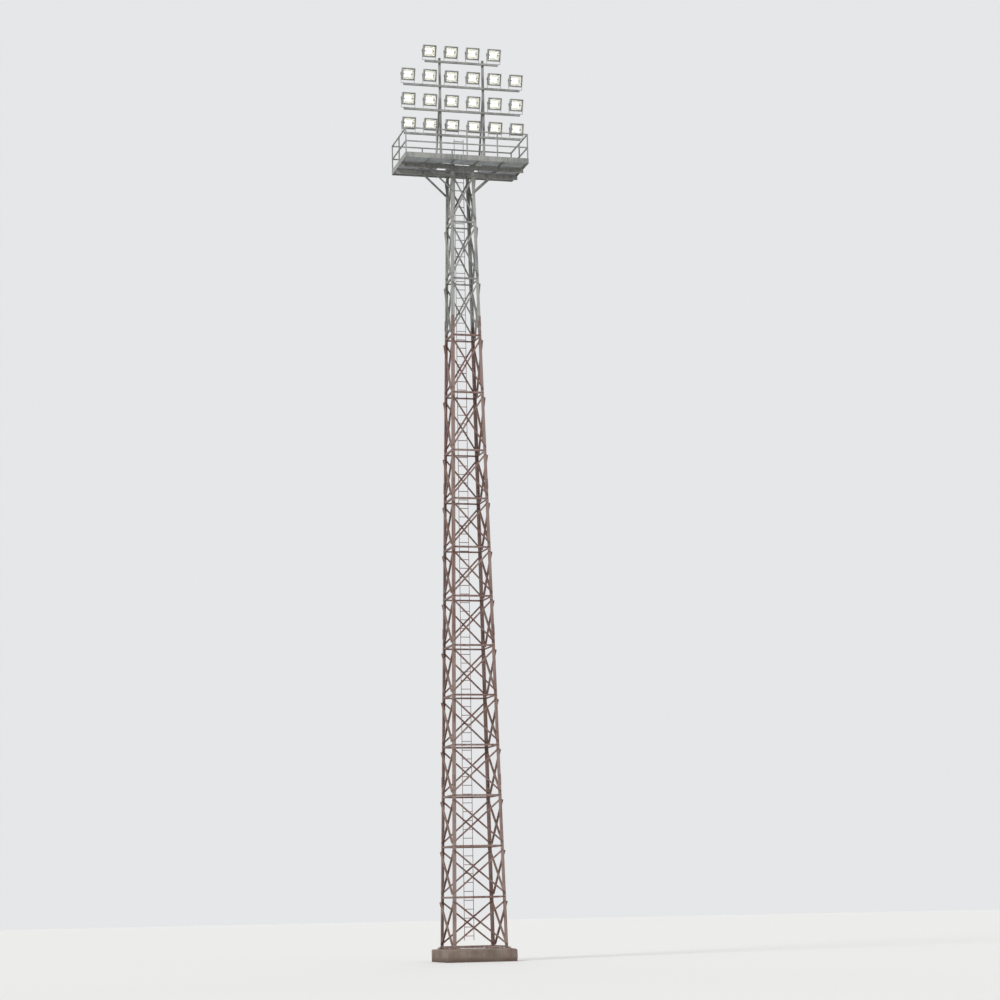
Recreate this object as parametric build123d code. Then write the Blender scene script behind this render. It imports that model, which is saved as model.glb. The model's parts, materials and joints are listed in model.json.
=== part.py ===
# Stadium floodlight pylon: a square tapered lattice tower of steel angles on a
# concrete plinth, with a climbing ladder inside it, a work platform on its top
# and a frame of tilted floodlights above the platform.
# Millimetres, +Z up, -Y is the lit side that faces the pitch.
# The origin is the middle of the plinth's underside.
import os
from math import atan, cos, hypot, sin

from build123d import *

# Plinth and the leg feet
plinth_width = 2400
plinth_height = 420
plinth_chamfer = 30
foot_plate_size = 340
foot_plate_thickness = 25
foot_plate_overhang = 90
foot_rib_size = 72
foot_rib_thickness = 10
foot_rib_place = 60

# Tower: widths over the outer faces of the legs, and panel heights
tower_base_width = 1890
tower_top_width = 830
lower_panel_count = 10
lower_panel_height = 1700
upper_panel_count = 4
upper_panel_height = 2050
top_panel_height = 1900
grey_panel_count = 3

# Leg angles and bracing angles
leg_size = 110
leg_thickness = 10
leg_length_panels = 3
leg_butt_gap = 3
splice_rise = 520
splice_length = 360
splice_size = 75
splice_thickness = 8
brace_size = 60
brace_thickness = 6
brace_corner_clearance = 25
brace_rib_clearance = 15
brace_end_offset = 125
base_tie_rise = 45
top_tie_drop = 55

# Ladder inside the tower, parallel to the back face
ladder_offset = 270
ladder_width = 330
ladder_stile_depth = 50
ladder_stile_thickness = 10
ladder_rung_size = 22
ladder_rung_pitch = 300
ladder_foot_gap = 250
ladder_rise_over_deck = 1050
ladder_strut_size = 40
ladder_strut_thickness = 6

# Platform
platform_width = 4450
platform_depth = 2300
bearer_height = 140
bearer_flange = 60
bearer_thickness = 8
joist_height = 60
joist_width = 60
joist_thickness = 6
joist_span_count = 5
deck_thickness = 25
deck_joint_gap = 8
hatch_width = 560
hatch_front = -350
hatch_back = 190
deck_notch_clearance = 8
toe_board_rise = 100
toe_board_thickness = 6
toe_board_corner_gap = 2
knee_reach = 800
knee_drop = 780

# Railing round the platform
rail_height = 1000
rail_size = 40
rail_middle_share = 0.52
rail_wide_bay_count = 4
rail_deep_bay_count = 2

# Lamp frame on the front bearer
lamp_pitch = 785
lamp_row_pitch = 900
first_row_over_deck = 1350
lamps_in_rows = (6, 6, 6, 4)
upright_width = 80
upright_depth = 60
upright_over_last_beam = 120
row_beam_size = 70
row_beam_overhang = 150
stay_size = 60
stay_height_over_deck = 2500

# One floodlight, in its own frame: the pivot is the origin, the glass faces -Y
lamp_tilt = 20
lamp_width = 460
lamp_height = 420
lamp_front = -120
lamp_shoulder = 20
lamp_back = 150
lamp_back_inset = 88
lamp_wall = 4
bezel_border = 10
bezel_depth = 30
bezel_lip = 35
glass_thickness = 6
glass_seat_depth = 12
glass_clearance = 0.3
gear_box_width = 240
gear_box_height = 210
gear_box_depth = 80
gear_fin_count = 3
gear_fin_thickness = 8
gear_fin_depth = 22
gear_fin_margin = 22
boss_radius = 32
boss_length = 10
stirrup_width = 50
stirrup_thickness = 6
stirrup_drop = 330
stirrup_rise = 40

# Worked out from the sizes above
foot_level = plinth_height + foot_plate_thickness
lower_rise = lower_panel_count * lower_panel_height
leg_rise = lower_rise + upper_panel_count * upper_panel_height + top_panel_height
leg_top = foot_level + leg_rise
panel_count = lower_panel_count + upper_panel_count + 1
red_panel_count = panel_count - grey_panel_count
slope = (tower_base_width - tower_top_width) / 2 / leg_rise
batter = atan(slope)
bearer_top = leg_top + bearer_height
joist_top = bearer_top + joist_height
deck_top = joist_top + deck_thickness
deck_width = platform_width - 2 * toe_board_thickness
deck_depth = platform_depth - 2 * toe_board_thickness
upright_middle = -tower_top_width / 2 + bearer_thickness - bearer_flange / 2
upright_front = upright_middle - upright_depth / 2
upright_back = upright_middle + upright_depth / 2
beam_middle = upright_front - row_beam_size / 2
stay_top = deck_top + stay_height_over_deck
stay_lean = (-upright_middle - upright_back) / (stay_top - bearer_top)
stay_foot_depth = stay_size * hypot(1, stay_lean)
side_names = ("front", "right", "back", "left")
corner_names = ("front_left", "front_right", "back_right", "back_left")


def panel_level(index):
    """Height of a panel line over the leg feet, counted from the bottom."""
    if index == panel_count:
        return leg_rise - top_tie_drop
    lower = min(index, lower_panel_count) * lower_panel_height
    upper = max(index - lower_panel_count, 0) * upper_panel_height
    return lower + upper


def flat_between(low, high):
    """A flat rectangle from its lowest to its highest corner."""
    middle = ((low[0] + high[0]) / 2, (low[1] + high[1]) / 2)
    return Pos(*middle) * Rectangle(high[0] - low[0], high[1] - low[1])


def turned(shape, quarter_turns):
    """The shape turned about the tower's axis by right angles."""
    return Rot(0, 0, 90 * quarter_turns) * shape


def box_between(low, high):
    """A box from its lowest to its highest corner."""
    size = [b - a for a, b in zip(low, high)]
    middle = [(a + b) / 2 for a, b in zip(low, high)]
    return Pos(*middle) * Box(*size)


def write(name, *solids):
    """Save the solids of one piece."""
    shape = solids[0] if len(solids) == 1 else Compound(children=list(solids))
    export_step(shape, f"parts/{name}.step")


def foundation_plinth():
    block = Pos(0, 0, plinth_height / 2) * Box(plinth_width, plinth_width, plinth_height)
    return chamfer(block.faces().sort_by(Axis.Z)[-1].edges(), plinth_chamfer)


def foot_plate():
    """The front left foot plate, under its leg, with a short rib against
    each outer face of the leg."""
    corner = -tower_base_width / 2
    edge = corner - foot_plate_overhang
    low = (edge, edge, plinth_height)
    high = (edge + foot_plate_size, edge + foot_plate_size, foot_level)
    outline = [
        (corner, foot_level),
        (corner + slope * foot_rib_size, foot_level + foot_rib_size),
        (corner - foot_rib_size, foot_level),
    ]
    section = Plane.YZ.offset(corner + foot_rib_place) * make_face(Polyline(*outline, close=True))
    rib = extrude(section, foot_rib_thickness)
    across = Plane((0, 0, 0), x_dir=(1, 1, 0), z_dir=(-1, 1, 0))
    return box_between(low, high) + rib + mirror(rib, across)


def corner_angle(bottom, top, inner, outer):
    """An angle section in the front left corner of the tower, between two
    heights over the feet. It leans in along both faces, and reaches from the
    leg's outer faces out by the first value and in by the second."""
    corner = -tower_base_width / 2 + bottom * slope
    outline = [
        (-outer[0], -outer[0]),
        (inner, -outer[0]),
        (inner, outer[1]),
        (outer[1], outer[1]),
        (outer[1], inner),
        (-outer[0], inner),
    ]
    section = Pos(corner, corner, foot_level + bottom) * make_face(Polyline(*outline, close=True))
    length = (top - bottom) * hypot(1, slope, slope)
    return extrude(section, amount=length, dir=(slope, slope, 1))


def splice_levels():
    """Heights over the feet where the legs' lengths meet."""
    lines = range(leg_length_panels, panel_count, leg_length_panels)
    return [panel_level(line) + splice_rise for line in lines]


def leg_lengths():
    """The front left leg, in lengths that stop short of each other."""
    ends = [0] + splice_levels() + [leg_rise]
    lengths = []
    for bottom, top in zip(ends, ends[1:]):
        low = bottom + (leg_butt_gap / 2 if bottom > 0 else 0)
        high = top - (leg_butt_gap / 2 if top < leg_rise else 0)
        lengths.append(corner_angle(low, high, leg_size, (0, leg_thickness)))
    return lengths


def leg_splices():
    """The angle covers outside the front left leg, over its butt joints."""
    half = splice_length / 2
    return [
        corner_angle(level - half, level + half, splice_size, (splice_thickness, 0))
        for level in splice_levels()
    ]


# The front face's own plane: x across, y up the slope, z outwards
face_plane = Plane(
    origin=(0, -tower_base_width / 2, foot_level),
    x_dir=(1, 0, 0),
    z_dir=(0, -cos(batter), sin(batter)),
)
leg_skin = leg_thickness * cos(batter)


def up_face(height):
    """Distance up the sloping face for a height over the feet."""
    return height / cos(batter)


def face_half_width(up):
    return tower_base_width / 2 - up * sin(batter)


def edge_hit(start, end, offset, side, clearance):
    """Where the line from start to end, moved sideways by offset, meets the
    line that runs up a leg at a clearance from its corner."""
    run = (end[0] - start[0], end[1] - start[1])
    length = hypot(*run)
    step = (run[0] / length, run[1] / length)
    base = (start[0] - step[1] * offset, start[1] + step[0] * offset)
    reach = side * (tower_base_width / 2 - clearance) - base[0] - side * sin(batter) * base[1]
    along = reach / (step[0] + side * sin(batter) * step[1])
    return (base[0] + step[0] * along, base[1] + step[1] * along)


def strip(start, end, low, high, clearance):
    """A flat strip from leg to leg, between two offsets from a line."""
    corners = [
        edge_hit(start, end, low, -1, clearance),
        edge_hit(start, end, low, 1, clearance),
        edge_hit(start, end, high, 1, clearance),
        edge_hit(start, end, high, -1, clearance),
    ]
    return make_face(Polyline(*corners, close=True))


def angle_bar(start, end, inside):
    """An angle from leg to leg, with one flange flat on the legs and the
    other standing off it, inwards or outwards."""
    half = brace_size / 2
    flat = strip(start, end, -half, half, brace_corner_clearance)
    if inside:
        rib_clearance = leg_thickness + brace_size + brace_rib_clearance
        rib = strip(start, end, -half, brace_thickness - half, rib_clearance)
        bar = extrude(flat, -brace_thickness) + extrude(rib, -brace_size)
        return Pos(0, 0, -leg_skin) * bar
    rib = strip(start, end, -half, brace_thickness - half, brace_corner_clearance)
    return extrude(flat, brace_thickness) + extrude(rib, brace_size)


def crossed_pair(bottom, top):
    """The two diagonals of one panel: one inside the legs' flanges, one
    outside them, so that they pass each other where they cross."""
    low = up_face(bottom + brace_end_offset)
    high = up_face(top - brace_end_offset)
    low_reach = face_half_width(low) - brace_corner_clearance
    high_reach = face_half_width(high) - brace_corner_clearance
    inner = angle_bar((-low_reach, low), (high_reach, high), True)
    outer = angle_bar((-high_reach, high), (low_reach, low), False)
    return [inner, outer]


def tie(height):
    """A level angle inside the legs' flanges."""
    up = up_face(height)
    reach = face_half_width(up)
    return angle_bar((-reach, up), (reach, up), True)


def face_bracing(first, last):
    """Crossed diagonals of the panels from first up to last, with the level
    tie at the top of each, on the front face."""
    bars = []
    for index in range(first, last):
        bars += crossed_pair(panel_level(index), panel_level(index + 1))
        bars.append(tie(panel_level(index + 1)))
    return [face_plane * bar for bar in bars]


# The ladder's plane, parallel to the back face: x across, y up, z to the front
ladder_plane = Plane(
    origin=(0, tower_base_width / 2 - ladder_offset / cos(batter), foot_level),
    x_dir=(1, 0, 0),
    z_dir=(0, -cos(batter), -sin(batter)),
)
ladder_top = up_face(deck_top - foot_level + ladder_rise_over_deck)


def ladder():
    length = ladder_top - ladder_foot_gap
    body = Part()
    for side in (-1, 1):
        stile = Box(ladder_stile_thickness, length, ladder_stile_depth)
        body += Pos(side * ladder_width / 2, ladder_foot_gap + length / 2, 0) * stile
    rungs = int((length - ladder_rung_pitch / 2) // ladder_rung_pitch)
    rung = Box(ladder_width - ladder_stile_thickness, ladder_rung_size, ladder_rung_size)
    places = [
        Pos(0, ladder_foot_gap + ladder_rung_pitch * (index + 0.5), 0) * rung
        for index in range(rungs + 1)
    ]
    return ladder_plane * (body + places)


def ladder_struts():
    """Flat struts that hold the ladder off every second tie of the back
    face. Each lies on the tie's standing flange, outside a stile."""
    struts = []
    stile_face = (ladder_width + ladder_stile_thickness) / 2
    tie_inner_face = ladder_offset - leg_skin - brace_thickness
    for index in range(1, panel_count, 2):
        seat = up_face(panel_level(index)) - brace_size / 2 + brace_thickness
        low = (stile_face, seat, -tie_inner_face)
        high = (stile_face + ladder_strut_thickness, seat + ladder_strut_size,
                ladder_stile_depth / 2)
        arm = box_between(low, high)
        struts += [ladder_plane * arm, ladder_plane * mirror(arm, Plane.YZ)]
    return struts


def bearer():
    """The front bearer: a channel on the legs' tops, flanges outwards."""
    web_face = -tower_top_width / 2
    outline = [
        (0, 0),
        (bearer_flange, 0),
        (bearer_flange, bearer_thickness),
        (bearer_thickness, bearer_thickness),
        (bearer_thickness, bearer_height - bearer_thickness),
        (bearer_flange, bearer_height - bearer_thickness),
        (bearer_flange, bearer_height),
        (0, bearer_height),
    ]
    outline = [(web_face + bearer_thickness - y, leg_top + z) for y, z in outline]
    section = Plane.YZ.offset(-deck_width / 2) * make_face(Polyline(*outline, close=True))
    return extrude(section, deck_width)


def joist(place, turn):
    """An angle from front to back over the bearers, its top flange towards
    +X or, with a turn of -1, towards -X."""
    outline = [
        (0, 0),
        (joist_width, 0),
        (joist_width, joist_thickness),
        (joist_thickness, joist_thickness),
        (joist_thickness, joist_height),
        (0, joist_height),
    ]
    outline = [(place + turn * x, joist_top - z) for x, z in outline]
    section = Plane.XZ.offset(-deck_depth / 2) * make_face(Polyline(*outline, close=True))
    return extrude(section, deck_depth)


def joist_places():
    """Place and turn of each joist, the turns towards the middle."""
    bay = deck_width / joist_span_count
    places = []
    for index in range(joist_span_count + 1):
        turn = 1 if index <= joist_span_count / 2 else -1
        places.append((index * bay - deck_width / 2, turn))
    return places


def deck_plates():
    """Grating panels that meet over the joists, with four round the hatch
    over the ladder shaft, and notches for the lamp frame's feet."""
    sheet = Sketch() + Rectangle(deck_width, deck_depth)
    sheet -= flat_between((-hatch_width / 2, hatch_front), (hatch_width / 2, hatch_back))
    middle_reach = deck_width / joist_span_count / 2
    for edge, side in ((hatch_front, -1), (hatch_back, 1)):
        joint = edge + side * deck_joint_gap / 2
        sheet -= Pos(0, joint) * Rectangle(2 * middle_reach, deck_joint_gap)
    reach = upright_width / 2 + deck_notch_clearance
    upright_reach = upright_depth / 2 + deck_notch_clearance
    stay_reach = stay_foot_depth / 2 + deck_notch_clearance
    stay_shift = stay_lean * (deck_top - bearer_top)
    for side in (-1, 1):
        left = side * lamp_pitch - reach
        right = side * lamp_pitch + reach
        sheet -= flat_between((left, upright_middle - upright_reach),
                              (right, upright_middle + upright_reach))
        sheet -= flat_between((left, -upright_middle - stay_reach - stay_shift),
                              (right, -upright_middle + stay_reach))
    for place, turn in joist_places()[1:-1]:
        joint = place + turn * joist_width / 2
        sheet -= Pos(joint, 0) * Rectangle(deck_joint_gap, deck_depth)
    return Pos(0, 0, joist_top) * extrude(sheet, deck_thickness)


def toe_boards():
    """Upright plates round the platform's edge, on the ends of the joists."""
    top = deck_top + toe_board_rise
    half_width = platform_width / 2
    half_depth = platform_depth / 2
    front = box_between((-half_width, -half_depth, bearer_top),
                        (half_width, -deck_depth / 2, top))
    side_reach = deck_depth / 2 - toe_board_corner_gap
    left = box_between((-half_width, -side_reach, bearer_top),
                       (-deck_width / 2, side_reach, top))
    return [front, turned(front, 2), left, turned(left, 2)]


def knee_brace():
    """The front right knee brace: an angle from the leg's outer face up to
    the underside of the bearer's flange."""
    leg_end = (face_half_width(up_face(leg_rise - knee_drop)) - leg_size / 2,
               up_face(leg_rise - knee_drop))
    top_end = (tower_top_width / 2 + knee_reach, up_face(leg_rise))
    run = (top_end[0] - leg_end[0], top_end[1] - leg_end[1])
    length = hypot(*run)
    along = (run[0] / length, run[1] / length)
    across = (-along[1], along[0])

    def corner(distance, offset):
        return (leg_end[0] + along[0] * distance + across[0] * offset,
                leg_end[1] + along[1] * distance + across[1] * offset)

    half = brace_size / 2
    spare = 2 * brace_size
    start = -half
    flat = Polyline(corner(start, -half), corner(length + spare, -half),
                    corner(length + spare, half), corner(start, half), close=True)
    rib = Polyline(corner(start, -half), corner(length + spare, -half),
                   corner(length + spare, brace_thickness - half),
                   corner(start, brace_thickness - half), close=True)
    flange = bearer_flange - bearer_thickness
    bar = extrude(make_face(flat), brace_thickness) + extrude(make_face(rib), flange)
    above = box_between((-platform_width, -platform_depth, leg_top),
                        (platform_width, platform_depth, deck_top))
    return face_plane * bar - above


def railing(length, depth, bays, with_ends):
    """A run of railing along the front edge: posts on the toe board's inner
    side, a top rail and a middle rail."""
    back = -depth / 2 + toe_board_thickness
    front_face = back + rail_size
    reach = length / 2 - toe_board_thickness
    first = 0 if with_ends else 1
    top = deck_top + rail_height
    pieces = []
    bay = (2 * reach - rail_size) / bays
    for index in range(first, bays + 1 - first):
        left = -reach + index * bay
        pieces.append(box_between((left, back, deck_top), (left + rail_size, front_face, top)))
    end = reach if with_ends else reach - rail_size
    for height in (rail_height, rail_height * rail_middle_share):
        low = deck_top + height - rail_size
        pieces.append(box_between((-end, back, low), (end, front_face, low + rail_size)))
    return Part() + pieces


def row_level(row):
    """Height of the lamp pivots of one row."""
    return deck_top + first_row_over_deck + row * lamp_row_pitch


def beam_top(row):
    return row_level(row) - stirrup_drop - stirrup_thickness


upright_top = beam_top(len(lamps_in_rows) - 1) + upright_over_last_beam


def upright(side):
    low = (side * lamp_pitch - upright_width / 2, upright_middle - upright_depth / 2, bearer_top)
    high = (side * lamp_pitch + upright_width / 2, upright_middle + upright_depth / 2, upright_top)
    return box_between(low, high)


def row_beam(row):
    """The square beam under one row of lamps, on the uprights' front."""
    reach = (lamps_in_rows[row] - 1) * lamp_pitch / 2 + row_beam_overhang
    low = (-reach, upright_front - row_beam_size, beam_top(row) - row_beam_size)
    high = (reach, upright_front, beam_top(row))
    return box_between(low, high)


def raking_stay(side):
    """A stay from the back bearer up to the back of an upright."""
    half = stay_foot_depth / 2
    drop = stay_foot_depth / stay_lean
    outline = [
        (-upright_middle - half, bearer_top),
        (-upright_middle + half, bearer_top),
        (upright_back, stay_top + drop / 2),
        (upright_back, stay_top - drop / 2),
    ]
    place = side * lamp_pitch - stay_size / 2
    section = Plane.YZ.offset(place) * make_face(Polyline(*outline, close=True))
    return extrude(section, stay_size)


def trough_profile(size, shrink):
    """The floodlight's body seen from the side or from above: a trough that
    narrows behind its shoulder."""
    half = size / 2 - shrink
    narrow = half - lamp_back_inset
    back = lamp_back - shrink
    outline = [
        (lamp_front, -half),
        (lamp_shoulder, -half),
        (back, -narrow),
        (back, narrow),
        (lamp_shoulder, half),
        (lamp_front, half),
    ]
    return make_face(Polyline(*outline, close=True))


def lamp_shell(shrink):
    """The floodlight's body, where its side view and its top view meet."""
    side_view = extrude(Plane.YZ * trough_profile(lamp_height, shrink), lamp_width / 2, both=True)
    across = Plane((0, 0, 0), x_dir=(0, 1, 0), z_dir=(0, 0, -1))
    top_view = extrude(across * trough_profile(lamp_width, shrink), lamp_height / 2, both=True)
    return side_view & top_view


def gear_box():
    """The box for the lamp's control gear on the back of its body, with
    upright cooling fins."""
    back = lamp_back + gear_box_depth
    box = box_between((-gear_box_width / 2, lamp_back, -gear_box_height / 2),
                      (gear_box_width / 2, back, gear_box_height / 2))
    reach = gear_box_width / 2 - gear_fin_margin - gear_fin_thickness / 2
    spacing = 2 * reach / (gear_fin_count - 1)
    fin = box_between(
        (-gear_fin_thickness / 2, back, gear_fin_margin - gear_box_height / 2),
        (gear_fin_thickness / 2, back + gear_fin_depth, gear_box_height / 2 - gear_fin_margin),
    )
    return box + [Pos(index * spacing - reach, 0, 0) * fin for index in range(gear_fin_count)]


def lamp_housing():
    body = lamp_shell(0) - lamp_shell(lamp_wall)
    bezel_size = (lamp_width + 2 * bezel_border, lamp_height + 2 * bezel_border)
    window = (lamp_width - 2 * bezel_lip, lamp_height - 2 * bezel_lip)
    seat = (window[0] + bezel_lip, window[1] + bezel_lip)
    bezel = extrude(Plane.XZ.offset(-lamp_front) * Rectangle(*bezel_size), bezel_depth)
    bezel -= extrude(Plane.XZ.offset(-lamp_front) * Rectangle(*window), bezel_depth)
    bezel_front = -lamp_front + bezel_depth
    seat_cut = Plane.XZ.offset(bezel_front - glass_seat_depth) * Rectangle(*seat)
    bezel -= extrude(seat_cut, glass_seat_depth)
    bosses = []
    for side in (-1, 1):
        plane = Plane.YZ.offset(side * lamp_width / 2)
        boss = extrude(plane * RegularPolygon(boss_radius, 6), side * boss_length)
        bosses.append(boss)
    return body + bezel + gear_box() + bosses


def lamp_glass():
    width = lamp_width - bezel_lip - 2 * glass_clearance
    height = lamp_height - bezel_lip - 2 * glass_clearance
    back = -lamp_front + bezel_depth - glass_seat_depth
    return extrude(Plane.XZ.offset(back) * Rectangle(width, height), glass_thickness)


def lamp_stirrup():
    """The U-shaped bracket that stands on a row beam and holds one lamp."""
    inner = lamp_width / 2 + boss_length
    outer = inner + stirrup_thickness
    foot = box_between((-outer, -stirrup_width / 2, -stirrup_drop - stirrup_thickness),
                       (outer, stirrup_width / 2, -stirrup_drop))
    left = box_between((-outer, -stirrup_width / 2, -stirrup_drop),
                       (-inner, stirrup_width / 2, stirrup_rise))
    return foot + left + mirror(left, Plane.YZ)


def row_places(row):
    count = lamps_in_rows[row]
    return [(index - (count - 1) / 2) * lamp_pitch for index in range(count)]


def write_all_round(name, solids):
    """Save the solids of one corner or face, repeated on all four."""
    write(name, *[turned(solid, turn) for turn in range(4) for solid in solids])


def write_tower():
    write("foundation_plinth", foundation_plinth())
    write_all_round("foot_plates", [foot_plate()])
    lengths = leg_lengths()
    for turn, name in enumerate(corner_names):
        write(f"leg_lower_{name}", *[turned(length, turn) for length in lengths[:-1]])
        write(f"leg_upper_{name}", turned(lengths[-1], turn))
    write_all_round("leg_splices", leg_splices())
    red_bars = [face_plane * tie(base_tie_rise)] + face_bracing(0, red_panel_count)
    grey_bars = face_bracing(red_panel_count, panel_count)
    for turn, name in enumerate(side_names):
        write(f"bracing_lower_{name}", *[turned(bar, turn) for bar in red_bars])
        write(f"bracing_upper_{name}", *[turned(bar, turn) for bar in grey_bars])
    write("ladder", ladder())
    write("ladder_struts", *ladder_struts())


def write_platform():
    write("platform_bearers", bearer(), turned(bearer(), 2))
    write("platform_joists", *[joist(place, turn) for place, turn in joist_places()])
    write("platform_deck", *deck_plates().solids())
    write("platform_toe_boards", *toe_boards())
    brace = knee_brace()
    braces = [brace, mirror(brace, Plane.YZ)]
    write("platform_knee_braces", *braces, *[turned(piece, 2) for piece in braces])
    long_rail = railing(platform_width, platform_depth, rail_wide_bay_count, True)
    short_rail = railing(platform_depth, platform_width, rail_deep_bay_count, False)
    write("railing_front", long_rail)
    write("railing_back", turned(long_rail, 2))
    write("railing_right", turned(short_rail, 1))
    write("railing_left", turned(short_rail, 3))


def write_lamps():
    write("lamp_frame_uprights", upright(-1), upright(1))
    write("lamp_frame_stays", raking_stay(-1), raking_stay(1))
    write("lamp_frame_beams", *[row_beam(row) for row in range(len(lamps_in_rows))])
    housing = Rot(lamp_tilt, 0, 0) * lamp_housing()
    glass = Rot(lamp_tilt, 0, 0) * lamp_glass()
    stirrup = lamp_stirrup()
    for row in range(len(lamps_in_rows)):
        spots = [Pos(x, beam_middle, row_level(row)) for x in row_places(row)]
        write(f"lamp_stirrups_row_{row + 1}", *[spot * stirrup for spot in spots])
        write(f"lamp_housings_row_{row + 1}", *[spot * housing for spot in spots])
        write(f"lamp_glasses_row_{row + 1}", *[spot * glass for spot in spots])


os.makedirs("parts", exist_ok=True)
write_tower()
write_platform()
write_lamps()
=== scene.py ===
"""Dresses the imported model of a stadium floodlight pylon: weathered paint on its
steel, a cast plinth, bolts, open grating, floodlight optics and a plain stage.
Metres, +Z up, -Y is the lit side that faces the pitch."""

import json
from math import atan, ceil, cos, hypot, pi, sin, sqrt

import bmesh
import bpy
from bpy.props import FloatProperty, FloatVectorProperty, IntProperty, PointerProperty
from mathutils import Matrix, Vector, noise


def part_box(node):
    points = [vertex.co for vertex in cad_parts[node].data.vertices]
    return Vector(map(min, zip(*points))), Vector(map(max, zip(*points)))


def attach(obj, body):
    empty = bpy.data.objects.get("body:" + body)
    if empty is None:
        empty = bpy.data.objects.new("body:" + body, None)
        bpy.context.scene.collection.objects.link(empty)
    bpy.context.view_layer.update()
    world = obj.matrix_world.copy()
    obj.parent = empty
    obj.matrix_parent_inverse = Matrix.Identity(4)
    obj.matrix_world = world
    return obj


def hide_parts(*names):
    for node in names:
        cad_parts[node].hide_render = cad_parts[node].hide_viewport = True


bl_info = {
    "name": "Stadium floodlight pylon",
    "version": (1, 0, 0),
    "blender": (4, 5, 0),
    "location": "3D View > Sidebar > Pylon",
    "description": "Finishes, fixings, grating and optics of a floodlight pylon, and its stage",
    "category": "Add Mesh",
}

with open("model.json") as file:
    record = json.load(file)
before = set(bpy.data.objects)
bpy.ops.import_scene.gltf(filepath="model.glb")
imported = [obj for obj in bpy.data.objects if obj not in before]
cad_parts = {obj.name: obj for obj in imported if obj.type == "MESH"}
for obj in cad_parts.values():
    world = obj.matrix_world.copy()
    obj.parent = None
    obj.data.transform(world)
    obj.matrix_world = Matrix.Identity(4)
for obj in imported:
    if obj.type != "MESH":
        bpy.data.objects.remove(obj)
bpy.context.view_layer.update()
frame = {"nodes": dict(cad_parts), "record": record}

# Tower panels and steel sections, which the boxes of the nodes don't give
lower_panel_count = 10
lower_panel_height = 1.70
upper_panel_count = 4
upper_panel_height = 2.05
grey_panel_count = 3
leg_size = 0.110
leg_thickness = 0.010
brace_size = 0.060
brace_thickness = 0.006
brace_corner_clearance = 0.025
brace_end_offset = 0.125
bolt_gauge = 0.004
bolt_end_length = 0.006
diagonal_bolt_distances = (0.030, 0.074)
tie_bolt_insets = (0.048, 0.088)
base_tie_rise = 0.045
top_tie_drop = 0.055
splice_panels = 3
splice_rise = 0.520
splice_thickness = 0.008
splice_bolt_inset = 0.046
splice_bolt_rows = (-0.145, -0.090, -0.035, 0.035, 0.090, 0.145)

# Plinth, foot plates, platform and railing
plinth_chamfer = 0.030
foot_plate_size = 0.340
foot_plate_thickness = 0.025
joist_count = 6
joist_thickness = 0.006
bearer_flange = 0.060
bearer_thickness = 0.008
bearer_cleat_thickness = 0.008
joist_cleat_thickness = 0.005
toe_board_thickness = 0.006
rail_size = 0.040
rail_wide_bay_count = 4
middle_rail_share = 0.52
knee_reach = 0.800
knee_drop = 0.780

# The ladder between the legs
ladder_offset = 0.270
ladder_width = 0.330
ladder_stile_depth = 0.050
ladder_stile_thickness = 0.010
ladder_rung_size = 0.022
ladder_rung_pitch = 0.300
ladder_foot_gap = 0.250
ladder_strut_size = 0.040
ladder_strut_thickness = 0.006

# Lamp frame, and one lamp about its pivot with the glass facing -Y
lamps_in_rows = (6, 6, 6, 4)
upright_width = 0.080
stay_size = 0.060
stay_rise = 2.500
stirrup_drop = 0.336
stirrup_inner = 0.240
stirrup_thickness = 0.006
lamp_tilt = pi / 9
lamp_width = 0.460
lamp_height = 0.420
lamp_front = -0.120
bezel_depth = 0.030
bezel_border = 0.010
window_width = 0.390
window_height = 0.350
glass_seat = 0.035
glass_front = -0.144
tube_y = -0.010
gear_box_width = 0.240
gear_box_height = 0.210
gear_box_front = 0.150
gear_box_depth = 0.080

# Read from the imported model
leg_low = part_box("leg_lower_front_left")[0]
upper_leg_low, upper_leg_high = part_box("leg_upper_front_left")
foot_level = leg_low.z
leg_top = upper_leg_high.z
base_half = -leg_low.x
slope = (upper_leg_low.x - leg_low.x) / (upper_leg_low.z - leg_low.z)
batter = atan(slope)
plinth_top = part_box("foundation_plinth")[1].z
deck_low, deck_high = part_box("platform_deck")
bearer_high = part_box("platform_bearers")[1]
upright_low, upright_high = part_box("lamp_frame_uprights")
upright_middle = (upright_low.y + upright_high.y) / 2
lamp_pitch = upright_high.x - upright_width / 2
panel_count = lower_panel_count + upper_panel_count + 1
red_panel_count = panel_count - grey_panel_count


def srgb(red, green, blue):
    """A colour written as it is seen, as the linear colour that nodes take."""
    linear = [c / 12.92 if c <= 0.04045 else ((c + 0.055) / 1.055) ** 2.4 for c in (red, green, blue)]
    return (*linear, 1.0)


def colour_property(name, description, *seen):
    return FloatVectorProperty(name=name, description=description, subtype="COLOR", size=4,
                               min=0, max=1, default=srgb(*seen))


def length_property(name, description, default):
    return FloatProperty(name=name, description=description, unit="LENGTH", min=0, default=default,
                         precision=4)


def share_property(name, description, default):
    return FloatProperty(name=name, description=description, subtype="FACTOR", min=0, max=1,
                         default=default)


def angle_property(name, description, default):
    return FloatProperty(name=name, description=description, subtype="ANGLE", default=default)


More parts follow.
